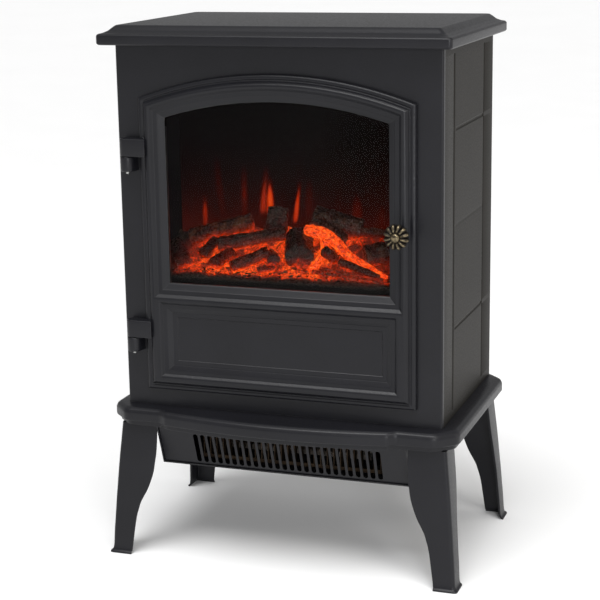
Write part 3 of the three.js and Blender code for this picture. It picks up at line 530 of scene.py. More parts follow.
def ember_grit(settings):
    f = Finish("Ember grit")
    grains = f.cells(1.7)
    speckle = f.noise(1.2, 3.0)
    ash = f.mix(f.span(speckle, 0.35, 0.65), tone(settings.ash, 0.25), tone(settings.ash, 1.6))
    ash = f.mix(f.span(f.noise(3.1, 2.0), 0.5, 0.62), ash, tone(settings.char, 1.4))
    base = f.mix(f.mark("grit"), (0.004, 0.004, 0.004, 1), ash)
    fibres = f.noise(2.0, 5.0, twist=1.2)
    gaps = f.span(fibres, 0.4, 0.66, 0.1, 1.15)
    patches = f.span(f.noise(13, 2.0), 0.36, 0.54, 0.35, 1.0)
    # heat is painted glow: emission in the bed's gaps and patches.
    heat = f.sum("MULTIPLY", f.mark("painted_glow"), f.sum("MULTIPLY", gaps, patches))
    relief = f.sum("MULTIPLY", f.mark("grit"), f.sum("ADD", grains, speckle))
    return f.set(
        Base_Color=base, Roughness=f.span(speckle, 0.3, 0.7, 0.4, 0.75),
        Emission_Color=f.ramp(heat, GLOW_COLOURS), Emission_Strength=settings.glow, Normal=f.bump(relief, 0.8))


def loose_cinders(settings):
    f = Finish("Loose cinders")
    speckle = f.noise(1.0, 4.0)
    base = f.mix(f.span(speckle, 0.4, 0.6), tone(settings.ash, 0.3), tone(settings.ash, 2.2))
    base = f.mix(f.span(f.noise(5, 2.0), 0.48, 0.56), base, tone(settings.char, 1.5))
    return f.set(Base_Color=base, Roughness=f.span(speckle, 0.3, 0.7, 0.3, 0.8), Normal=f.bump(speckle, 0.4))


def lit_screen(settings):
    f = Finish("Flame screen")
    shimmer = f.span(f.noise(9, 3.0, (1, 1, 0.25)), 0.3, 0.7, 0.55, 1.15)
    # heat is the painted flame light on the screen, with a shimmer.
    heat = f.sum("MULTIPLY", f.mark("lick"), shimmer)
    return f.set(
        Base_Color=f.mix(f.span(f.noise(30), 0.3, 0.7), (0.0015, 0.001, 0.001, 1), (0.003, 0.002, 0.0015, 1)),
        Roughness=0.6, Specular_IOR_Level=0.08, Emission_Color=f.ramp(heat, GLOW_COLOURS),
        Emission_Strength=settings.flames)


def green_board():
    f = Finish("Circuit board")
    tracks = f.span(f.node("TexBrick", {"Vector": f.place, "Scale": 260.0}).outputs["Fac"], 0, 1)
    return f.set(
        Base_Color=f.mix(tracks, (0.012, 0.085, 0.032, 1), (0.03, 0.15, 0.06, 1)),
        Roughness=f.span(f.noise(2), 0.3, 0.7, 0.3, 0.5), Normal=f.bump(tracks, 0.03))


def printed_marks():
    f = Finish("Printed marks")
    return f.set(Base_Color=f.ramp(f.noise(0.6), [(0.3, (0.5, 0.5, 0.48)), (0.7, (0.7, 0.7, 0.68))]))


FINISHES = {}


def finish(name):
    """One of the stove's finishes, made the first time that it is asked for."""
    if name in FINISHES:
        return FINISHES[name]
    scene = bpy.context.scene
    shell, door, fire = scene.stove_shell, scene.stove_door, scene.stove_fire
    grain = shell.grain / MM
    recipes = {
        "body_paint": lambda: powder_coat("Body paint", shell.paint, shell.edge_wear_and_highlight, grain),
        "cast_paint": lambda: powder_coat("Cast paint", door.paint, shell.edge_wear_and_highlight, grain, 0.045, 0.34),
        # A lighter, warmer copy of the body paint, as painted light on the sides.
        "lit_side_paint": lambda: powder_coat("Lit side paint", shell.side, shell.edge_wear_and_highlight, grain, 0.03, 0.5, 0.08),
        "inner_black": lambda: dull_black("Inner black"),
        "steel": lambda: bare_metal("Plated steel", (0.50, 0.50, 0.48, 1), (0.30, 0.30, 0.30, 1), 0.36),
        "aluminium": lambda: bare_metal("Aluminium fins", (0.55, 0.52, 0.49, 1), (0.36, 0.31, 0.27, 1), 0.42),
        # Brown oxide on the fins, made darker as painted shade of the housing's inside.
        "browned_shaded_fins": lambda: bare_metal(
            "Browned and shaded fins", (0.10, 0.07, 0.045, 1), (0.04, 0.028, 0.02, 1), 0.6),
        "black_plastic": lambda: moulded_plastic("Black plastic", (0.014, 0.014, 0.015, 1)),
        "brass": lambda: old_brass(door),
        "smoked_glass": lambda: smoked_glass(door),
        "flame_screen": lambda: lit_screen(fire),
        "ember": lambda: ember_grit(fire),
        "charred_log": lambda: burnt_bark(fire),
        "cinders": lambda: loose_cinders(fire),
        "circuit_board": green_board,
        "printed_marks": printed_marks,
    }
    FINISHES[name] = recipes[name]()
    return FINISHES[name]


# ---- places taken from the frame ------------------------------------------------------------------
FRONT = box("front_panel")[0].y               # plane of the body's front face
REAR = box("back_panel")[1].y
BODY_MIDDLE = (FRONT + REAR) / 2
DOOR_LOW, DOOR_HIGH = box("door_frame")
GLASS_LOW, GLASS_HIGH = box("door_glass")
BED_LOW, BED_HIGH = box("ember_bed")
SCREEN_LOW, SCREEN_HIGH = box("flame_screen")
CREST = FRONT - DOOR_LOW.y                    # how far the door's highest moulding stands forward
DOOR_BACK = FRONT - DOOR_HIGH.y


# ---- the body -------------------------------------------------------------------------------------
# inset from the cap's edge, height above its underside: a flat lip, then a cove up to the flat top
CAP_EDGE = [
    (1.6, 0), (0, 1.4), (0, 10.2), (1.4, 11.9), (5.2, 12.7), (10, 15), (13.6, 18.4), (16.4, 20.7), (20, 21)]
CAP_CORNER = 5.0


def cap_shape():
    low, high = box("top_cap")
    rings = []
    for inset, height in eased(CAP_EDGE, 0.9, 3):
        outline = rectangle(low.x + inset, high.x - inset, low.y + inset, high.y - inset)
        rings.append([level(x, y, low.z + height) for x, y in eased_loop(outline, [CAP_CORNER] * 4, 6)])
    return loft(rings)


# The door and its window are rectangles whose tops are arcs about one middle point.
DOOR_ARCH = 457.0
ARCH_MIDDLE = DOOR_HIGH.z - DOOR_ARCH
ARCH_STEPS = 44


def arch(half, bottom, radius):
    shoulder = math.asin(half / radius)
    points = [(-half, bottom), (half, bottom)]
    for i in range(ARCH_STEPS + 1):
        angle = shoulder * (1 - 2 * i / ARCH_STEPS)
        points.append((radius * math.sin(angle), ARCH_MIDDLE + radius * math.cos(angle)))
    return points


FOLD_RETURN = 6.0                             # the front sheet's fold runs this far back along the side
OPENING = {"side": 18.4, "bottom": 12.1, "top": 17.0}   # how far the mouth lies inside the door's outline


def front_panel_shape(bend):
    low, high = box("front_panel")
    sheet = high.y - low.y
    edge = high.x - bend
    mouth = arch(DOOR_HIGH.x - OPENING["side"], DOOR_LOW.z + OPENING["bottom"], DOOR_ARCH - OPENING["top"])

    def walled(p, q):
        return p[0] != q[0] or abs(p[0]) < edge

    face = plate(rectangle(-edge, edge, low.z, high.z), [mouth], low.y, high.y, upright, walled)
    folds = []
    for side in (-1, 1):
        skin = []
        for radius in (bend, bend - sheet):
            arc = [(math.sin(math.radians(9 * i)), 1 - math.cos(math.radians(9 * i))) for i in range(11)]
            line = [(edge + radius * s, low.y + bend - radius + radius * c) for s, c in arc]
            line.append((edge + radius, low.y + FOLD_RETURN))
            skin.append(line)
        chain = [(side * x, y) for x, y in skin[0] + skin[1][::-1]]
        folds.append(loft([[(x, y, z) for x, y in chain] for z in (low.z, high.z)], closed=False))
    return joined(face, *folds)


# Grooves pressed in a side: two uprights, and level courses between them
UPRIGHT = 69.5                                # from the body's middle
COURSES = {"low": 280.0, "middle": 395.0, "high": 500.0}
GROOVE_LOW, GROOVE_HIGH, GROOVE_BREAK = 190.0, 579.5, 3.3
GROOVE_HALF = {"front": 2.4, "rear": 2.2, "course": 2.6}
COURSE_SHARES = (0.8, 0.22, 0.8)              # how deep each course is pressed, of the full depth
COURSE_GAPS = {"front": 9.0, "rear": 2.5}     # where a course stops short of the uprights


def side_grooves():
    """Each groove as (y, z) to (y, z), its half width and its share of the full depth."""
    y0, y1 = BODY_MIDDLE - UPRIGHT, BODY_MIDDLE + UPRIGHT
    grooves = [(y0, GROOVE_LOW, y0, GROOVE_HIGH, GROOVE_HALF["front"], 1.0)]
    cuts = [GROOVE_LOW, COURSES["low"] - GROOVE_BREAK, COURSES["low"] + GROOVE_BREAK,
            COURSES["high"] - GROOVE_BREAK, COURSES["high"] + GROOVE_BREAK, GROOVE_HIGH]
    rear = GROOVE_HALF["rear"]
    grooves += [(y1, low, y1, high, rear, 1.0) for low, high in zip(cuts[::2], cuts[1::2])]
    start, end = y0 + COURSE_GAPS["front"], y1 - COURSE_GAPS["rear"]
    for z, amount in zip(COURSES.values(), COURSE_SHARES):
        grooves.append((start, z, end, z, GROOVE_HALF["course"], amount))
    return grooves


def groove_depth(y, z, grooves):
    deepest = 0.0
    for ya, za, yb, zb, half, amount in grooves:
        away = math.hypot(y - min(max(y, ya), yb), z - min(max(z, za), zb))
        deepest = max(deepest, amount * eased_step((1 - away / half) * 1.3))
    return deepest


def marked_stations(low, high, marks):
    """Stations from low to high, close together round each (middle, half width) mark."""
    found = {low, high}
    for middle, half in marks:
        found.update(middle + half * k / 4 for k in range(-4, 5))
    return sorted(s for s in found if low <= s <= high)


def side_panel_shape(side, depth):
    low, high = box("side_panel_right" if side > 0 else "side_panel_left")
    outer, inner = (high.x, low.x) if side > 0 else (low.x, high.x)
    grooves = side_grooves()
    ys = marked_stations(FRONT + FOLD_RETURN + 0.15, high.y, {(g[i], g[4]) for g in grooves for i in (0, 2)})
    zs = marked_stations(low.z, high.z, {(g[i], g[4]) for g in grooves for i in (1, 3)})
    points = [(outer - side * depth * groove_depth(y, z, grooves), y, z) for z in zs for y in ys]
    faces = grid(len(ys) - 1, len(zs) - 1)
    rim = [(y, zs[0]) for y in ys] + [(ys[-1], z) for z in zs[1:]]
    rim += [(y, zs[-1]) for y in ys[-2::-1]] + [(ys[0], z) for z in zs[-2:0:-1]]
    edge = loft([[(x, y, z) for y, z in rim] for x in (outer, inner)], caps=False)
    back = ([(inner, y, z) for y, z in rim], [tuple(range(len(rim)))])
    return joined((points, faces), edge, back)


VENTS = {"below top": (74.7, 94.7, 114.7, 134.7), "columns": (-105, -35, 35, 105), "length": 46, "half": 2.5}
BACK_SCREWS = [(x, z) for x in (-176, 176) for z in (192, 316, 450, 577)]
CORD_HOLE = 7.3


def back_panel_shape():
    low, high = box("back_panel")
    half = VENTS["length"] / 2
    vents = [
        [(b, a) for a, b in slot_outline(high.z - drop, x - half, x + half, VENTS["half"])]
        for drop in VENTS["below top"] for x in VENTS["columns"]]
    x, _, z = near_centre("cord_inlet")
    hole = round_points(x, z, CORD_HOLE, [math.pi * i / 16 for i in range(32)])
    return plate(rectangle(low.x, high.x, low.z, high.z), [*vents, hole], low.y, high.y, upright)


def cord_inlet_shape():
    low, high = box("cord_inlet")
    reach = high.y - low.y
    profile = [
        (0, 4.2), (0, 6.6), (0.6, 7), (reach - 3.3, 7), (reach - 3.2, 9.4), (reach - 2.6, 10),
        (reach - 1, 10), (reach, 8.6), (reach, 5.6), (reach - 1.4, 4.2), (0, 4.2)]
    points, faces = lathe(profile, near_centre("cord_inlet"), (0, 1, 0), 48)
    return points, faces[:-2]


HEX_TURN = 1.0472                             # a sixth of a turn
HEX_HALF = 0.5236


def screw_head(centre, axis, radius=3.4):
    """A pan head with a hexagon hole."""
    rise = radius * 0.55
    head = [(0, radius), (rise * 0.35, radius), (rise * 0.8, radius * 0.82), (rise, radius * 0.52)]
    hole = [(rise, radius * 0.44), (rise * 0.35, radius * 0.4)]

    def hexagon(k, angle, r):
        if r > radius * 0.45:
            return r, 0
        return r / math.cos((angle + HEX_HALF) % HEX_TURN - HEX_HALF), 0

    return lathe(eased(head, 0.5, 2) + hole, centre, axis, 36, hexagon)


# ---- base and legs --------------------------------------------------------------------------------
BASE = {"chamfer": 22.0, "bow": 13.0, "step": 7.0, "step to": 128.0, "step from": 142.0, "corner": 6.0}
BOW_STEPS, SHOULDER_STEPS = 24, 8
# inset, height above the underside: up out of the hollow, round the band, and over the soft top edge
BASE_EDGE = [
    (8, 19.2), (8, 0), (5, 0), (5, 5.4), (0.7, 6.1), (0, 7.2), (0, 15.6), (1.6, 19.3), (5, 21.4), (11, 22.2)]


def base_outline(inset):
    low, high = box("base_plate")
    half, rear, apex = high.x - inset, high.y - inset, low.y + inset
    cut = BASE["chamfer"] - inset * (2 - math.sqrt(2))
    shoulder = apex + BASE["bow"] + BASE["step"]
    line = []
    for i in range(BOW_STEPS + 1):
        x = BASE["step to"] * i / BOW_STEPS
        line.append((x, apex + BASE["bow"] * (i / BOW_STEPS) ** 2))
    for i in range(1, SHOULDER_STEPS + 1):
        x = mixed(BASE["step to"], BASE["step from"], i / SHOULDER_STEPS)
        line.append((x, apex + BASE["bow"] + BASE["step"] * eased_step(i / SHOULDER_STEPS)))
    corners = [
        (BASE["step from"], shoulder), (half - cut, shoulder), (half, shoulder + cut),
        (half, rear - cut), (half - cut, rear), (0, rear)]
    line += eased(corners, BASE["corner"], 4)[1:]
    return line + [(-x, y) for x, y in line[-2:0:-1]]


def base_plate_shape():
    low = box("base_plate")[0]
    line = BASE_EDGE[:1] + eased(BASE_EDGE[1:], 1.1, 3)
    return loft([[level(x, y, low.z + height) for x, y in base_outline(inset)] for inset, height in line])


# One leg's levels: height, the folded corner's inset in x and in y, and the reach of the front flange
# and of the side one
LEG_LEVELS = [
    (0, 0, 0, 27.4, 26), (1.5, 0.3, 0.3, 27.4, 26.1), (5.5, 3, 2.8, 27.8, 26.5), (26, 4.4, 4, 30.6, 28.5),
    (44, 5.8, 5.3, 33.4, 30), (57, 6.8, 6.2, 37, 31.5), (65, 7.4, 6.7, 40, 32.5), (80, 8.7, 7.9, 48, 35.5),
    (98, 10.2, 9.3, 54.5, 39.5), (112, 11.5, 10.4, 57, 43), (127, 13, 11.7, 59, 45.5),
    (156.7, 16, 14.5, 60, 48.5)]
LEG_SHEET = 2.5
LEG_FOLD = 4.2
LEG_TAB = {"x": (17.5, 46), "y": (16, 41.5), "thick": 2.5}


def leg_shape(node):
    low, high = box(node)
    side = 1 if low.x > 0 else -1
    end = 1 if low.y > BODY_MIDDLE else -1

    def place(u, v, z):
        return ((high.x - u) if side > 0 else (low.x + u), (high.y - v) if end > 0 else (low.y + v), z)

    rings = []
    for z, cu, cv, flange, web in through(LEG_LEVELS, 4):
        t = LEG_SHEET
        section = [(cu, cv), (cu, web), (cu + t, web), (cu + t, cv + t), (flange, cv + t), (flange, cv)]
        rounded = eased_loop(section, [LEG_FOLD, 0.7, 0.7, LEG_FOLD - t, 0.7, 0.7], 5)
        rings.append([place(u, v, z) for u, v in rounded])
    xs = sorted(place(u, 0, 0)[0] for u in LEG_TAB["x"])
    ys = sorted(place(0, v, 0)[1] for v in LEG_TAB["y"])
    tab = block((xs[0], ys[0], high.z - LEG_TAB["thick"]), (xs[1], ys[1], high.z))
    return joined(loft(rings), tab)


# ---- fan heater under the base --------------------------------------------------------------------
HOUSING = {"front low": 17.0, "chamfer": 18.0, "sheet": 1.5}
HOUSING_VENTS = {"heights": (132.5, 142.5), "columns": range(-90, 91, 18), "reach": 6, "half": 2.4}


def housing_shape():
    low, high = box("heater_housing")
    thick = HOUSING["sheet"]
    foot = low.y + HOUSING["front low"]
    chamfer = HOUSING["chamfer"]
    bend = [(foot, low.z), (high.y - chamfer, low.z), (high.y, low.z + chamfer)]
    under = sheet_strip(eased([*bend, (high.y, low.z + chamfer + 2)], 3), thick, low.x, high.x)
    roof = sheet_strip([(high.y, high.z), (low.y, high.z)], thick, low.x, high.x)
    side = [*bend, (high.y, high.z), (low.y, high.z)]

    def beside(a, b, x):
        return (x, a, b)

    cheeks = [plate(side, [], x, x + s * thick, beside) for x, s in ((low.x, 1), (high.x, -1))]
    reach, half = HOUSING_VENTS["reach"], HOUSING_VENTS["half"]
    vents = [
        [(b, a) for a, b in slot_outline(z, x - reach, x + reach, half)]
        for z in HOUSING_VENTS["heights"] for x in HOUSING_VENTS["columns"]]
    outline = rectangle(low.x, high.x, low.z + chamfer + 2, high.z)
    rear = plate(outline, vents, high.y - thick, high.y, upright)
    return joined(under, roof, *cheeks, rear)


GRILLE = {"first": -103.0, "last": 114.5, "half": 2.75, "low": 2.9, "high": 41.9, "thick": 1.2}


def grille_shape(count):
    housing_low, housing_high = box("heater_housing")
    low, high = box("heater_grille")
    lean = math.atan2(HOUSING["front low"], housing_high.z - housing_low.z)
    c, s = math.cos(lean), math.sin(lean)
    tall = (high.z - low.z) / c - 0.4
    foot = high.y - GRILLE["thick"] * c

    def leaning(a, b, depth):
        return (a, foot - b * s + depth * c, low.z + b * c + depth * s)

    pitch = (GRILLE["last"] - GRILLE["first"]) / (count - 1)
    slots = [
        slot_outline(GRILLE["first"] + pitch * i, GRILLE["low"], GRILLE["high"], GRILLE["half"])
        for i in range(count)]
    return plate(rectangle(low.x, high.x, 0, tall), slots, 0, GRILLE["thick"], leaning)


# ---- the door -------------------------------------------------------------------------------------
GLASS_LIP = 6.0
FRAME_WIDTH = DOOR_HIGH.x - (GLASS_HIGH.x - GLASS_LIP)
REBATE_GAP = 0.3
# inset from the door's edge, depth: a soft flange, a fine groove, then the round rise to the crest
RIM = [
    (0, DOOR_BACK), (0, 4.6), (0.8, 6.2), (2.4, 7.2), (4.6, 7.4), (5.6, 6.5), (6.8, 6.7), (8.2, 9.4),
    (10.2, 11.6), (12.2, CREST)]
# distance out from the glass, depth: an inner bevel, a fine groove and a second bevel up to the crest
BEVEL = [(17.4, CREST), (15.6, 11.7), (12.8, 9.2), (11.6, 8.3), (7.6, 7.9), (6.8, 7.2), (1, 3.6), (0, 2.8)]
# distance out from the lower panel's field, depth
PANEL_EDGE = [
    (19.8, CREST), (18, 11.4), (15.6, 9), (12.4, 8.5), (11.4, 8.2), (6.4, 5.6), (5.4, 4.9), (0.8, 4.6),
    (0, 3.6)]
PANEL = {"side": 38.4, "bottom": 35.4, "top": 85.2}      # the field's place inside the door's outline


def on_door(a, b, depth):
    return (a, FRONT - depth, b)


def door_shape():
    half, bottom = DOOR_HIGH.x, DOOR_LOW.z
    window_half, sill = GLASS_HIGH.x - GLASS_LIP, GLASS_LOW.z + GLASS_LIP

    def window_loop(out):
        return arch(window_half + out, sill - out, DOOR_ARCH - FRAME_WIDTH + out)

    def panel_loop(out):
        side = half - PANEL["side"] + out
        return rectangle(-side, side, bottom + PANEL["bottom"] - out, bottom + PANEL["top"] + out)

    def swept(loop, profile):
        return loft([[on_door(a, b, depth) for a, b in loop(reach)] for reach, depth in profile], caps=False)

    def door_loop(inset):
        return arch(half - inset, bottom + inset, DOOR_ARCH - inset)

    rebate = GLASS_LIP + REBATE_GAP
    seat = BEVEL[-1][1]
    edge = eased(RIM, 0.6, 3)
    inner = eased(BEVEL, 0.6, 3) + [(rebate, seat), (rebate, DOOR_BACK)]
    field = eased(PANEL_EDGE, 0.6, 3)
    crest = flat([door_loop(RIM[-1][0]), window_loop(BEVEL[0][0]), panel_loop(PANEL_EDGE[0][0])],
                 lambda a, b: on_door(a, b, CREST))
    back = flat([door_loop(0), window_loop(rebate)], lambda a, b: on_door(a, b, DOOR_BACK))
    middle = flat([panel_loop(0)], lambda a, b: on_door(a, b, PANEL_EDGE[-1][1]))
    mouldings = [swept(door_loop, edge), swept(window_loop, inner), swept(panel_loop, field)]
    return joined(*mouldings, crest, back, middle)


def glass_shape():
    outline = arch(GLASS_HIGH.x, GLASS_LOW.z, DOOR_ARCH - FRAME_WIDTH + GLASS_LIP)
    return plate(outline, [], GLASS_LOW.y, GLASS_HIGH.y, upright)


# distance forward from the crest, radius, petal depth: foot, neck, petalled head and centre button
KNOB = [
    (0.3, 8, 0), (1.4, 8.3, 0), (2.4, 7.8, 0), (3.4, 5.6, 0), (5, 4.7, 0), (8.6, 4.5, 0), (10.4, 5.4, 0),
    (11.8, 8.6, 0.02), (13.2, 12, 0.1), (15, 13.7, 0.16), (17, 14, 0.17), (18.8, 13.7, 0.17),
    (20.6, 12.4, 0.16), (21.9, 10.2, 0.15), (22.5, 8.2, 0.13), (22.5, 6.6, 0.08), (21.9, 5.5, 0.03),
    (21.7, 5, 0), (22.6, 4.8, 0), (24, 4.4, 0), (25.1, 3, 0), (25.5, 1, 0)]
PETAL_SIDES = 16
PETAL_LIFT = 11
HEAD_FROM, HEAD_OVER = 15, 5                  # where the head's face begins, and how far it takes


def knob_shape(petals):
    """The knob, and how proud each of its points stands."""
    x, _, z = near_centre("door_knob")
    levels = through(KNOB, 3)
    proud = []

    def petalled(k, angle, radius):
        reach, _, depth = levels[k]
        hollow = 1 - abs(math.cos(petals * angle / 2)) ** 0.6
        on_face = eased_step((reach - HEAD_FROM) / HEAD_OVER)
        if depth > 0.01:
            proud.append((1 - min(1.0, hollow * 2.2)) * (0.35 + 0.65 * on_face))
        else:
            proud.append(1.0 if reach > 22 else 0.55)
        return radius * (1 - depth * hollow), -hollow * on_face * PETAL_LIFT * depth

    stations = [(reach, radius) for reach, radius, _ in levels]
    return lathe(stations, (x, DOOR_LOW.y, z), (0, -1, 0), petals * PETAL_SIDES, petalled), proud


HINGE = {"radius": 8.0, "edge": 1.5, "strap": 4.0}


def hinge_outline(axis, inset, end):
    """A barrel's round, run out to a strap that ends at x = end, in plan."""
    r = HINGE["radius"] - inset
    outline = round_points(*axis, r, [math.radians(90 + 12 * i) for i in range(16)])
    return outline + [(end - inset, axis[1] - r), (end - inset, axis[1] + HINGE["strap"] - inset)]


def layered(outline, low, high, edge):
    """An upright solid with rounded top and bottom edges. outline(inset) is its plan."""
    angles = [math.pi / 2 * i / 4 for i in range(5)]
    levels = [(edge * (1 - math.sin(a)), low + edge * (1 - math.cos(a))) for a in angles]
    levels += [(edge * (1 - math.cos(a)), high - edge * (1 - math.sin(a))) for a in angles]
    return loft([[level(x, y, z) for x, y in outline(inset)] for inset, z in levels])


def pin_axis(place):
    low, high = box(f"hinge_pin_{place}")
    return ((low.x + high.x) / 2, (low.y + high.y) / 2)


def hinge_arm_shape(place):
    low, high = box(f"hinge_arm_{place}")
    axis = pin_axis(place)
    return layered(lambda inset: hinge_outline(axis, inset, high.x), low.z, high.z, HINGE["edge"])


def hinge_knuckle_shape(place):
    low, high = box(f"hinge_knuckle_{place}")
    axis = pin_axis(place)

    def outline(inset):
        r = HINGE["radius"] - inset
        front = round_points(*axis, r, [math.radians(180 + 10 * i) for i in range(19)])
        return front + [(high.x - inset * 0.3, high.y), (low.x + inset * 0.3, high.y)]

    return layered(outline, low.z, high.z, HINGE["edge"])


# ---- controls behind the door ---------------------------------------------------------------------
ROCKER = {"half": 8.2, "rise": 2.1, "tilt": -10.0, "reach": 8.6}


def rocker_shape(node):
    """A V-fronted rocker with its upper half pressed in, a bar on that half and a ring on the other."""
    low, high = box(node)
    half, rise, reach = ROCKER["half"], ROCKER["rise"], ROCKER["reach"]
    middle, z = low.y + reach, (low.z + high.z) / 2
    front = [(-reach - rise, half), (-8.9, 4), (-8.4, 0), (-8.9, -4), (-reach - rise, -half)]
    section = eased(front, 1.5, 3) + [(-3, -half), (3, -3), (3, 3), (-3, half)]
    x0, x1 = low.x, high.x
    tilt = math.radians(ROCKER["tilt"])
    c, s = math.cos(tilt), math.sin(tilt)

    def tipped(x, y, up):
        return (x, middle + y * c - up * s, z + y * s + up * c)

    body = loft([[tipped(x, y, up) for y, up in section] for x in (x0, x1)])
    centre = (x0 + x1) / 2
    bar = block((-0.35, 0, 3), (0.35, 0.5, 6.4))
    bar = ([tipped(centre + x, -9.7 + y, up) for x, y, up in bar[0]], bar[1])
    profile = [(0, 1.0), (0.5, 1.0), (0.5, 1.6), (0, 1.6), (0, 1.0)]
    ring_points, ring_faces = lathe(profile, (0, 0, 0), (0, 1, 0), 20)
    ring = ([tipped(centre + x, -9.75 + y, up - 4.8) for x, y, up in ring_points], ring_faces[:-2])
    return joined(body, bar, ring)


FLUTES = {"count": 30, "depth": 0.045}
TICKS = {"count": 11, "first": 225, "turn": 27, "half": 0.45, "thick": 0.35}
DIAL_TO_PLATE = 11.6


def dial_shape():
    low, high = box("thermostat_dial")
    radius = (high.x - low.x) / 2
    grip = radius - 3
    tail = high.y - low.y
    profile = [
        (1.1, 1), (1.1, grip - 2.2), (1.6, grip - 0.8), (2.8, grip), (6.4, grip), (6.8, radius - 0.6),
        (7.3, radius), (10.8, radius), (11.4, radius - 0.5), (11.6, 3.2), (tail - 0.6, 3), (tail, 2.5)]

    def fluted(k, angle, r):
        groove = FLUTES["depth"] * (0.5 + 0.5 * math.cos(FLUTES["count"] * angle))
        return (r * (1 - groove), 0) if 1 < k < 5 else (r, 0)

    x, y, z = near_centre("thermostat_dial")
    body = lathe(profile, (x, y, z), (0, 1, 0), FLUTES["count"] * 8, fluted)
    pointer = block((x - 0.9, y, z + 2), (x + 0.9, y + 1.6, z + grip - 1.4))
    return joined(body, pointer)


def dial_marks_shape():
    """Ticks round the dial, longer as the setting rises, on the plate behind it."""
    low, high = box("thermostat_dial")
    x, z, radius = (low.x + high.x) / 2, (low.z + high.z) / 2, (high.x - low.x) / 2
    plate_y = low.y + DIAL_TO_PLATE
    ticks = []
    for i in range(TICKS["count"]):
        angle = math.radians(TICKS["first"] - TICKS["turn"] * i)
        out = Vector((math.cos(angle), 0, math.sin(angle)))
        across = Vector((-out.z, 0, out.x)) * TICKS["half"]
        near, far = out * (radius + 2), out * (radius + 3.4 + 0.32 * i)
        corners = [near - across, near + across, far + across, far - across]
        ends = [Vector((x, y, z)) for y in (plate_y, plate_y + TICKS["thick"])]
        ticks.append(loft([[tuple(end + c) for c in corners] for end in ends]))
    return joined(*ticks)


# ---- the fire -------------------------------------------------------------------------------------
# The bark's brown is partly its own colour, partly painted reddish light; the back logs get the most.
# Each packed log: radius, which way its far end lies in x and in z, and how brown its bark is
LOGS = {
    "log_left_end": (10.0, -1, 1, 0.25),
    "log_back_left": (9.5, 1, 1, 1.0),
    "log_long_diagonal": (8.0, 1, 1, 0.3),
    "log_short_left": (8.0, 1, 1, 0.1),
    "log_low_diagonal": (7.5, 1, 1, 0.3),
    "log_round": (15.5, -1, 1, 0.0),
    "log_back_right": (12.0, 1, -1, 0.5),
    "log_right_end": (13.0, 1, 1, 0.7),
    "log_stump": (12.0, 1, 1, 0.15),
}
# Smaller pieces moulded with the bed: points as (x, back from the bed's front, above its underside),
# radii, and how brown the bark is
SMALL_LOGS = {
    "branch_left": ([(-109, 24, 43), (-103, 48, 54)], (6.5, 6), 0.1),
    "twig_low": ([(-37, 9, 31), (-21, 18, 32)], (3.9, 3.6), 0.2),
    "branch_cut": ([(-22, 21, 40), (-35, 48, 41)], (7.3, 7), 0.0),
    "stump_right": ([(40, 20, 54), (46, 35, 43)], (6.8, 6.2), 0.1),
    "branch_behind": ([(12, 63, 81), (49, 58, 59)], (9.5, 9), 0.6),
    "branch_far_right": ([(61, 78, 67), (91, 83, 65)], (5.6, 5), 0.8),
    "twig_right": ([(56, 22, 43), (80, 17, 37), (104, 11, 31)], (4.4, 4, 3.2), 0.3),
}
GLOWING_BRANCH = {
    "glowing_branch": ([(7, 50, 71), (24, 47, 70), (42, 42, 63), (62, 33, 49), (86, 24, 39), (112, 15, 30)],
                       (6.5, 7.4, 6.6, 5.2, 4.2, 2.6)),
    "glowing_root": ([(31, 45, 64), (33, 37, 50), (27, 26, 38), (20, 19, 32)], (6, 5, 4.4, 3.2)),
}
SPLINTERS = [
    [(28, 9, 33), (62, 6, 31)], [(52, 12, 34), (88, 7, 30)], [(70, 5, 29), (104, 4, 27)],
    [(36, 13, 36), (58, 12, 35)]]


BED_GRID = (250, 76)
BED_LIP = 17.5                                # height of the bed's plain front edge
BED_FOOT, BED_RISE = 20.8, 42                 # the heap's height at the front, and its rise to the back


def bed_point(x, back, up):
    return Vector((x, BED_LOW.y + back, BED_LOW.z + up))


def heap(x, y):
    """Height of the ember bed: it rises from front to back with a low ripple."""
    rise = min(max((y - BED_LOW.y) / (BED_HIGH.y - BED_LOW.y), 0.0), 1.0)
    back = y - BODY_MIDDLE
    ripple = 2.2 * math.sin(x * 0.14 + back * 0.09) + 1.6 * math.sin(x * 0.31 - back * 0.17 + 1)
    ends = 10 * (abs(x) / BED_HIGH.x) ** 4 * rise
    return BED_LOW.z + BED_FOOT + BED_RISE * rise ** 1.15 + ripple * min(1, 4 * rise) - ends


def log_axis(node, radius, lean, rise):
    """The two ends of a packed log's middle line, from its box and its radius."""
    low, high = box(node)
    size = high - low
    way = size.normalized()
    for _ in range(8):
        span = Vector([max(s - 2 * radius * math.sqrt(max(0.0, 1 - w * w)), 0.5) for s, w in zip(size, way)])
        way = span.normalized()
    half = Vector((span.x * lean, span.y, span.z * rise)) / 2
    middle = (low + high) / 2
    return [middle - half, middle + half]


def all_axes():
    axes = [(log_axis(node, r, lean, rise), r) for node, (r, lean, rise, _) in LOGS.items()]
    axes += [([bed_point(*p) for p in path], radii[0]) for path, radii, _ in SMALL_LOGS.values()]
    axes += [([bed_point(*p) for p in path], radii[0]) for path, radii in GLOWING_BRANCH.values()]
    return axes


def lit_zone(x):
    """Share of the lamps' light that comes through along the bed."""
    return eased_step((x + 158) / 50) * (1 - 0.55 * eased_step((x - 25) / 60))


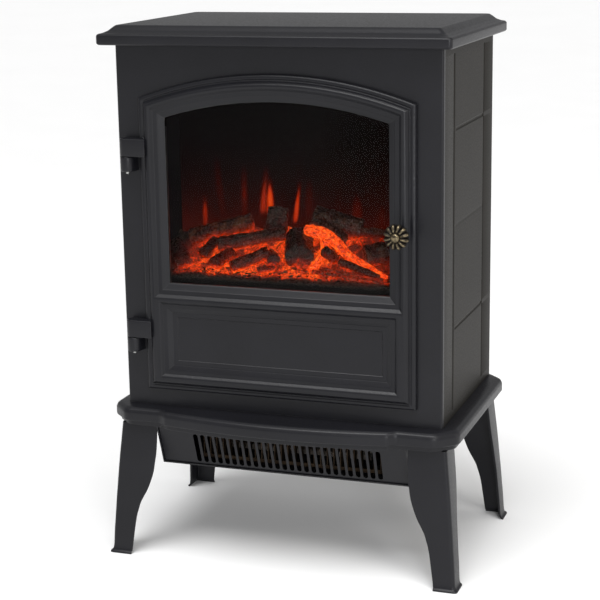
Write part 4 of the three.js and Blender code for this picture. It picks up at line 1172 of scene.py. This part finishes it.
def log_shape(path, radii, seed, heat=None, spacing=1.25, sides=44, bark=1.0):
    """A burnt branch along a path: its points and faces, and how much painted glow each point has."""
    ends = [Vector(p) for p in path]
    rows = through([(*p, r) for p, r in zip(ends, radii)], max(2, int(30 / len(ends))))
    total = sum((Vector(b[:3]) - Vector(a[:3])).length for a, b in zip(rows, rows[1:]))
    count = max(6, int(total / spacing))
    spots = []
    for k in range(count + 1):
        at = (len(rows) - 1) * k / count
        i = min(int(at), len(rows) - 2)
        spots.append([mixed(a, b, at - i) for a, b in zip(rows[i], rows[i + 1])])
    shift = Vector((seed * 7.31, seed * 3.7, seed * 5.13))
    way = (ends[1] - ends[0]).normalized()
    across = way.orthogonal().normalized()
    rings, glow_amounts = [], []
    caps = [(0, -0.9, 0.12), (0, -0.8, 0.45), (0, -0.5, 0.75), (0, -0.1, 0.93)]
    order = caps + [(k, 0, 1) for k in range(count + 1)]
    order += [(count, -lift, narrowing) for _, lift, narrowing in caps[::-1]]
    for k, lift, share_of_radius in order:
        middle = Vector(spots[k][:3])
        ahead = Vector(spots[min(k + 1, count)][:3]) - Vector(spots[max(k - 1, 0)][:3])
        ahead.normalize()
        across = (across - ahead * across.dot(ahead)).normalized()
        third = ahead.cross(across)
        ring = []
        for i in range(sides):
            angle = 2 * math.pi * i / sides
            c, s = math.cos(angle), math.sin(angle)
            along = k * spacing
            spoke = across * c + third * s
            grain = noise.noise(Vector((c * 1.6, s * 1.6, along * 0.035)) + shift)
            lumps = noise.noise((middle + spoke * spots[k][3]) * 0.11 + shift)
            crack = noise.noise(Vector((c * 3.2, s * 3.2, along * 0.09)) + shift * 2)
            fissure = max(0.0, 1 - 4.5 * abs(crack))
            flake = noise.noise(Vector((c * 6, s * 6, along * 0.30)) - shift)
            r = spots[k][3] * share_of_radius
            r *= 1 + bark * (0.16 * grain + 0.13 * lumps - 0.13 * fissure + 0.07 * flake)
            rough_end = noise.noise((middle + spoke * r) * 0.45 + shift) * 1.3 if lift else 0.0
            point = middle + spoke * r + ahead * (lift + rough_end)
            ring.append(tuple(point))
            # Painted glow: the bed's light painted on the log, strongest near the bed, in cracks and
            # underneath. A given heat function sets it instead.
            if heat is None:
                over = max(0.0, point.z - heap(point.x, point.y))
                below = max(0.0, -spoke.z)
                painted_bed_glow = math.exp(-over / 4.5) * 0.95 + 0.42 * fissure * math.exp(-over / 14) + 0.25 * below
                glow_amounts.append(lit_zone(point.x) * min(painted_bed_glow, 1.0))
            else:
                glow_amounts.append(heat(point, fissure, flake))
        rings.append(ring)
    return loft(rings), glow_amounts


# Loose lumps along the front of the bed: how many, how far back they lie, and their radii
CINDERS = {"count": 300, "band": 26.0, "size": (0.9, 2.2)}


def cinder(random, centre, size):
    """One lump of burnt grit."""
    shape = bmesh.new()
    bmesh.ops.create_icosphere(shape, subdivisions=2, radius=size)
    shift = Vector((random.uniform(0, 90), random.uniform(0, 90), random.uniform(0, 90)))
    stretch = Vector((random.uniform(0.7, 1.4), random.uniform(0.6, 1.2), random.uniform(0.4, 0.8)))
    spin = Matrix.Rotation(random.uniform(0, 6.28), 3, "Z")
    points = []
    for corner in shape.verts:
        lump = corner.co * (1 + 0.45 * noise.noise(corner.co * (1.3 / size) + shift))
        points.append(tuple(spin @ (lump * stretch) + centre))
    faces = [tuple(v.index for v in face.verts) for face in shape.faces]
    shape.free()
    return points, faces


FAR_AWAY = 99.0


def bed_shape(seed):
    """The ember bed with its gritty top, and the marks of grit and of painted glow on its points."""
    columns, rows = BED_GRID
    axes = all_axes()
    shift = Vector((seed, seed * 2, seed * 3))
    rings, grit, glow_amounts = [], [], []
    for c in range(columns + 1):
        x = mixed(BED_LOW.x, BED_HIGH.x, c / columns)
        ring = [(x, BED_LOW.y, BED_LOW.z), (x, BED_LOW.y, BED_LOW.z + BED_LIP)]
        grit += [0.0, 0.0]
        glow_amounts += [0.0, 0.0]
        for r in range(rows + 1):
            y = mixed(BED_LOW.y, BED_HIGH.y, r / rows)
            here = Vector((x, y, 0))
            away = FAR_AWAY
            for path, radius in axes:
                for a, b in zip(path, path[1:]):
                    line = Vector((b.x - a.x, b.y - a.y, 0))
                    to_here = here - Vector((a.x, a.y, 0))
                    t = min(max(to_here.dot(line) / line.length_squared, 0), 1)
                    away = min(away, (to_here - line * t).length - radius)
            lumps = noise.fractal(here * 0.16 + shift, 0.8, 2.2, 4)
            pebbles = noise.voronoi(here * 0.33 + shift)[0][0]
            relief = 1.5 * lumps - 1.9 * pebbles + 0.9
            edge = min(1.0, r / 3)
            ring.append((x, y, heap(x, y) + relief * (0.35 + 0.65 * edge)))
            grit.append(1.0)
            # Painted glow of the bed: brighter near the logs, none on the plain front edge.
            near = math.exp(-(max(away, 0.0) / 8.5) ** 2)
            front = eased_step((y - BED_LOW.y - 5) / 8)
            glow_amounts.append(lit_zone(x) * front * min(1.0, 0.3 + 0.75 * near + 0.25 * lumps))
        ring.append((x, BED_HIGH.y, BED_LOW.z))
        grit.append(0.0)
        glow_amounts.append(0.0)
        rings.append(ring)
    return loft(rings), {"grit": grit, "painted_glow": glow_amounts}


# x, lower end, tip, half width, lean over its height, strength
FLAMES = [
    (-140, 364, 394, 4.6, 0, 0.42), (-118, 376, 430, 5, -4, 0.16), (-89, 380, 424, 4.4, 0, 0.34),
    (-66, 384, 424, 5, 4, 0.42), (-57, 384, 414, 4.3, 0, 0.95), (-26, 376, 410, 3.2, 5, 0.8),
    (-10, 380, 416, 6, 2, 0.16), (50, 370, 402, 8, 0, 0.26), (80, 368, 394, 6, 0, 0.2),
    (112, 366, 398, 6, 1, 0.18), (140, 366, 392, 5, -1, 0.2)]


def flame_light(x, z):
    light = 0.17 * math.exp(-max(0.0, z - 368) / 24)
    for middle, low, tip, half, lean, strength in FLAMES:
        t = (z - low) / (tip - low)
        if -0.3 < t < 1.5:
            width = half * (1.15 - 0.45 * min(max(t, 0), 1))
            across = math.exp(-((x - middle - lean * t) / width) ** 2)
            fade = eased_step((t + 0.3) / 0.45) * (1 - eased_step((t - 0.55) / 0.95))
            light = max(light, strength * across * fade)
    return light


SCREEN_GRID = (220, 150)


def screen_shape():
    columns, rows = SCREEN_GRID
    low, high = SCREEN_LOW, SCREEN_HIGH
    points, light = [], []
    for r in range(rows + 1):
        z = mixed(low.z, high.z, r / rows)
        for c in range(columns + 1):
            x = mixed(low.x, high.x, c / columns)
            points.append((x, low.y, z))
            light.append(flame_light(x, z))
    faces = grid(columns, rows)
    wide = columns + 1
    rim = list(range(columns)) + [r * wide + columns for r in range(rows)]
    rim += [rows * wide + c for c in range(columns, 0, -1)] + [r * wide for r in range(rows, 0, -1)]
    first = len(points)
    points += [(points[i][0], high.y, points[i][2]) for i in rim]
    light += [0.0] * len(rim)
    for k, i in enumerate(rim):
        after = (k + 1) % len(rim)
        faces.append((i, rim[after], first + after, first + k))
    faces.append(tuple(range(first, first + len(rim))))
    return (points, faces), {"lick": light}


# ---- steps, as operators --------------------------------------------------------------------------
class STOVE_OT_stage(bpy.types.Operator):
    """Set up the camera, the pale floor and the soft lights"""
    bl_idname = "stove.stage"
    bl_label = "Stage"

    aim = Vector((-15.1, BODY_MIDDLE, 284.9)) * MM
    lamps_aim = Vector((0, 0, 0.3))

    def execute(self, context):
        settings = context.scene.stove_stage
        self.place_camera(context.scene, settings)
        self.lay_floor(settings)
        self.light_room(context.scene, settings)
        return {"FINISHED"}

    def place_camera(self, scene, settings):
        a, e, roll = settings.azimuth, settings.elevation, settings.roll
        back = Vector((math.sin(a) * math.cos(e), -math.cos(a) * math.cos(e), math.sin(e)))
        right = Vector((math.cos(a), math.sin(a), 0))
        up = back.cross(right)
        level_right = right * math.cos(roll) + up * math.sin(roll)
        level_up = up * math.cos(roll) - right * math.sin(roll)
        camera = bpy.data.objects.new("Camera", bpy.data.cameras.new("Camera"))
        camera.data.sensor_width = 36
        camera.data.lens = settings.lens
        camera.data.clip_end = 100
        turn = Matrix((level_right, level_up, back)).transposed().to_4x4()
        camera.matrix_world = Matrix.Translation(self.aim + back * settings.distance) @ turn
        scene.collection.objects.link(camera)
        scene.camera = camera

    def lay_floor(self, settings):
        f = Finish("Pale floor")
        tint = f.mix(f.span(f.noise(900, 3.0), 0.3, 0.7), tone(settings.floor, 0.985), settings.floor)
        f.set(Base_Color=tint, Roughness=f.span(f.noise(160), 0.3, 0.7, 0.6, 0.7))
        sides, radius, drop = 96, 30, -0.0003
        mesh = bpy.data.meshes.new("floor")
        rim = round_points(0, 0, radius, [2 * math.pi * i / sides for i in range(sides)])
        mesh.from_pydata([(x, y, drop) for x, y in rim], [], [tuple(range(sides))])
        mesh.materials.append(f.material)
        floor = bpy.data.objects.new("floor", mesh)
        bpy.context.scene.collection.objects.link(floor)

    def light_room(self, scene, settings):
        world = bpy.data.worlds.new("Room")
        world.use_nodes = True
        sky = world.node_tree.nodes["Background"]
        sky.inputs["Color"].default_value = (1, 1, 1, 1)
        sky.inputs["Strength"].default_value = settings.sky
        scene.world = world
        scene.view_settings.view_transform = "Standard"
        lamps = [
            ("Key right", (1.6, -1.3, 2.0), 0.9, 16, (1, 0.985, 0.96)),
            ("Side right", (2.4, 0.5, 0.9), 1.3, 8, (1, 0.955, 0.89)),
            ("Front right", (1.3, -2.4, 0.9), 0.5, 22, (0.97, 0.98, 1)),
        ]
        for name, place, size, watts, tint in lamps:
            lamp = bpy.data.lights.new(name, "AREA")
            lamp.size = size
            lamp.energy = watts
            self.hang(scene, lamp, place, tint)
        ceiling = bpy.data.lights.new("Ceiling", "SUN")
        ceiling.energy = settings.ceiling
        ceiling.angle = math.radians(36)
        self.hang(scene, ceiling, (-0.1, -0.9, 2.6), (1, 1, 1))

    def hang(self, scene, lamp, place, tint):
        lamp.color = tint
        made = bpy.data.objects.new(lamp.name, lamp)
        made.location = place
        made.rotation_euler = (self.lamps_aim - Vector(place)).to_track_quat("-Z", "Y").to_euler()
        scene.collection.objects.link(made)


class STOVE_OT_body(bpy.types.Operator):
    """Make the cap, the folded front, the grooved sides and the vented back"""
    bl_idname = "stove.body"
    bl_label = "Body"

    def execute(self, context):
        shell = context.scene.stove_shell
        paint = finish("body_paint")
        piece("cap", cap_shape(), paint, "stove", "body_paint", ["top_cap"], sharp=28)
        front = front_panel_shape(shell.bend / MM)
        piece("front_sheet", front, paint, "stove", "body_paint", ["front_panel"])
        for side, name in ((-1, "left"), (1, "right")):
            shape = side_panel_shape(side, shell.groove / MM)
            # The side sheets take the lighter copy of the coat: painted light on the sides.
            piece(f"side_sheet_{name}", shape, finish("lit_side_paint"), "stove", "body_paint",
                  [f"side_panel_{name}"], sharp=60)
        piece("back_sheet", back_panel_shape(), paint, "stove", "body_paint", ["back_panel"], bevel=0.35)
        screws = joined(*(screw_head((x, REAR, z), (0, 1, 0)) for x, z in BACK_SCREWS))
        piece("back_screws", screws, finish("steel"), "stove", "steel")
        black = finish("black_plastic")
        piece("cord_bush", cord_inlet_shape(), black, "stove", "black_plastic", ["cord_inlet"])
        return {"FINISHED"}


class STOVE_OT_base(bpy.types.Operator):
    """Make the bowed base plate and the four folded legs"""
    bl_idname = "stove.base"
    bl_label = "Base and legs"

    def execute(self, context):
        paint = finish("body_paint")
        piece("base", base_plate_shape(), paint, "stove", "body_paint", ["base_plate"])
        for place in ("front_left", "front_right", "rear_left", "rear_right"):
            piece(f"{place}_leg", leg_shape(f"leg_{place}"), paint, "stove", "body_paint", [f"leg_{place}"])
        return {"FINISHED"}


class STOVE_OT_heater(bpy.types.Operator):
    """Make the fan heater's housing and its slotted grille"""
    bl_idname = "stove.heater"
    bl_label = "Fan heater"

    def execute(self, context):
        paint = finish("body_paint")
        count = context.scene.stove_shell.slots
        piece("housing", housing_shape(), paint, "stove", "body_paint", ["heater_housing"])
        piece("grille", grille_shape(count), paint, "stove", "body_paint", ["heater_grille"], bevel=0.35)
        return {"FINISHED"}


class STOVE_OT_door(bpy.types.Operator):
    """Make the moulded door, its glass and its hinges"""
    bl_idname = "stove.door"
    bl_label = "Door"

    def execute(self, context):
        cast = finish("cast_paint")
        piece("door_casting", door_shape(), cast, "door", "cast_paint", ["door_frame"], sharp=32)
        glass = finish("smoked_glass")
        piece("window", glass_shape(), glass, "door", "smoked_glass", ["door_glass"], bevel=0.4)
        for place in ("upper", "lower"):
            arm, knuckle = f"hinge_arm_{place}", f"hinge_knuckle_{place}"
            piece(f"{place}_arm", hinge_arm_shape(place), cast, "door", "cast_paint", [arm])
            piece(f"{place}_knuckle", hinge_knuckle_shape(place), cast, "stove", "cast_paint", [knuckle])
        return {"FINISHED"}


class STOVE_OT_knob(bpy.types.Operator):
    """Make the petalled brass knob"""
    bl_idname = "stove.knob"
    bl_label = "Knob"

    def execute(self, context):
        shape, proud = knob_shape(context.scene.stove_door.petals)
        piece("petal_knob", shape, finish("brass"), "door", "brass", ["door_knob"], marks={"proud": proud})
        return {"FINISHED"}


class STOVE_OT_controls(bpy.types.Operator):
    """Make the rocker switches and the thermostat's dial"""
    bl_idname = "stove.controls"
    bl_label = "Controls"

    rockers = {
        "flame_switch": "flame_rocker", "heat_low_switch": "low_heat_rocker",
        "heat_high_switch": "high_heat_rocker"}

    def execute(self, context):
        black = finish("black_plastic")
        for node, body in self.rockers.items():
            piece(f"{node}_cap", rocker_shape(node), black, body, "black_plastic", [node], bevel=0.3)
        piece("dial", dial_shape(), black, "thermostat_knob", "black_plastic", ["thermostat_dial"],
              bevel=0.25)
        piece("dial_marks", dial_marks_shape(), finish("printed_marks"), "stove", "black_plastic")
        return {"FINISHED"}


class STOVE_OT_ember_bed(bpy.types.Operator):
    """Make the ember bed and the cinders on it"""
    bl_idname = "stove.ember_bed"
    bl_label = "Ember bed"

    def execute(self, context):
        seed = context.scene.stove_fire.seed
        shape, marks = bed_shape(seed)
        piece("bed", shape, finish("ember"), "stove", "ember", ["ember_bed"], marks=marks, sharp=80)
        random = Random(seed)
        lumps = []
        for _ in range(CINDERS["count"]):
            x = random.uniform(BED_LOW.x + 6, BED_HIGH.x - 6)
            y = BED_LOW.y + 3 + CINDERS["band"] * random.random() ** 1.6
            size = random.uniform(*CINDERS["size"])
            lumps.append(cinder(random, Vector((x, y, heap(x, y))), size))
        piece("cinders", joined(*lumps), finish("cinders"), "stove", "ember", sharp=60)
        return {"FINISHED"}


class STOVE_OT_logs(bpy.types.Operator):
    """Make the charred logs, the small branches and the glowing one"""
    bl_idname = "stove.logs"
    bl_label = "Logs"

    def execute(self, context):
        seed = context.scene.stove_fire.seed
        for k, (node, (radius, lean, rise, bark)) in enumerate(LOGS.items()):
            made = log_shape(log_axis(node, radius, lean, rise), (radius, radius), seed + k)
            self.lay(f"burnt_{node}", *made, bark, "charred_log", [node])
        for k, (name, (path, radii, bark)) in enumerate(SMALL_LOGS.items()):
            made = log_shape([bed_point(*p) for p in path], radii, seed + 30 + k)
            self.lay(name, *made, bark, "charred_log")
        for k, (name, (path, radii)) in enumerate(GLOWING_BRANCH.items()):
            # The function given here sets each point's painted glow.
            made = log_shape(
                [bed_point(*p) for p in path], radii, seed + 60 + k,
                lambda point, fissure, flake: 0.93 - 0.5 * fissure + 0.25 * flake, 1.1, 36, 0.9)
            self.lay(name, *made, 1.0, "ember")
        slivers, glow_amounts = [], []
        for k, path in enumerate(SPLINTERS):
            # heat is each point's painted glow.
            shape, heat = log_shape(
                [bed_point(*p) for p in path], (2.6, 2.0), seed + 80 + k,
                lambda point, fissure, flake: 0.34 + 0.3 * flake - 0.2 * fissure, 1.2, 20)
            slivers.append(shape)
            glow_amounts += heat
        self.lay("splinters", joined(*slivers), glow_amounts, 1.0, "charred_log")
        return {"FINISHED"}

    def lay(self, name, shape, heat, bark, slot, stands_for=()):
        # heat is the painted glow on each point.
        marks = {"painted_glow": heat, "bark": [bark] * len(heat)}
        piece(name, shape, finish("charred_log"), "stove", slot, stands_for, marks=marks, sharp=80)


class STOVE_OT_flame_screen(bpy.types.Operator):
    """Make the screen that the flames play on"""
    bl_idname = "stove.flame_screen"
    bl_label = "Flame screen"

    def execute(self, context):
        shape, marks = screen_shape()
        piece("screen", shape, finish("flame_screen"), "stove", "flame_screen", ["flame_screen"], marks=marks)
        return {"FINISHED"}


class STOVE_OT_works(bpy.types.Operator):
    """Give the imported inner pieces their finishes"""
    bl_idname = "stove.works"
    bl_label = "Inner works"

    kept = {
        "inner_black": ["base_tray", "control_box", "firebox_liner", "flame_template"],
        "steel": [
            "leg_screw_front_left", "leg_screw_front_right", "leg_screw_rear_left",
            "leg_screw_rear_right", "fan_motor", "thermostat_body", "spindle_motor", "spindle_bracket",
            "glass_retainer", "knob_screw", "door_magnet", "hinge_pin_upper", "hinge_pin_lower"],
        # The heating element takes the darkened fins: oxide and painted shade.
        "browned_shaded_fins": ["heating_element"],
        "aluminium": ["fan_impeller", "flame_spindle"],
        "black_plastic": [
            "thermal_cutout", "flame_switch_housing", "heat_low_switch_housing", "heat_high_switch_housing"],
        "circuit_board": ["lamp_board"],
    }

    def execute(self, context):
        for name, nodes in self.kept.items():
            for node in nodes:
                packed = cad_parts[node]
                for holder in packed.material_slots:
                    holder.material = finish(name)
        return {"FINISHED"}


STEPS = (
    STOVE_OT_stage, STOVE_OT_body, STOVE_OT_base, STOVE_OT_heater, STOVE_OT_door, STOVE_OT_knob,
    STOVE_OT_controls, STOVE_OT_ember_bed, STOVE_OT_logs, STOVE_OT_flame_screen, STOVE_OT_works)
SETTINGS = {
    "stove_stage": StageSettings, "stove_shell": ShellSettings, "stove_door": DoorSettings,
    "stove_fire": FireSettings}


class STOVE_PT_steps(bpy.types.Panel):
    """The stove's settings and its steps in order"""
    bl_idname = "STOVE_PT_steps"
    bl_label = "Electric stove heater"
    bl_space_type = "VIEW_3D"
    bl_region_type = "UI"
    bl_category = "Stove"

    def draw(self, context):
        for name in SETTINGS:
            group = getattr(context.scene, name)
            column = self.layout.box().column()
            for key in group.bl_rna.properties.keys():
                if key not in ("rna_type", "name"):
                    column.prop(group, key)
        for step in STEPS:
            self.layout.operator(step.bl_idname)


def register():
    for group in SETTINGS.values():
        bpy.utils.register_class(group)
    for step in STEPS:
        bpy.utils.register_class(step)
    bpy.utils.register_class(STOVE_PT_steps)
    for name, group in SETTINGS.items():
        setattr(bpy.types.Scene, name, bpy.props.PointerProperty(type=group))


def unregister():
    for name in SETTINGS:
        delattr(bpy.types.Scene, name)
    bpy.utils.unregister_class(STOVE_PT_steps)
    for step in reversed(STEPS):
        bpy.utils.unregister_class(step)
    for group in SETTINGS.values():
        bpy.utils.unregister_class(group)


def main():
    register()
    bpy.ops.stove.stage()
    bpy.ops.stove.body()
    bpy.ops.stove.base()
    bpy.ops.stove.heater()
    bpy.ops.stove.door()
    bpy.ops.stove.knob()
    bpy.ops.stove.controls()
    bpy.ops.stove.ember_bed()
    bpy.ops.stove.logs()
    bpy.ops.stove.flame_screen()
    bpy.ops.stove.works()


if __name__ == "__main__":
    main()
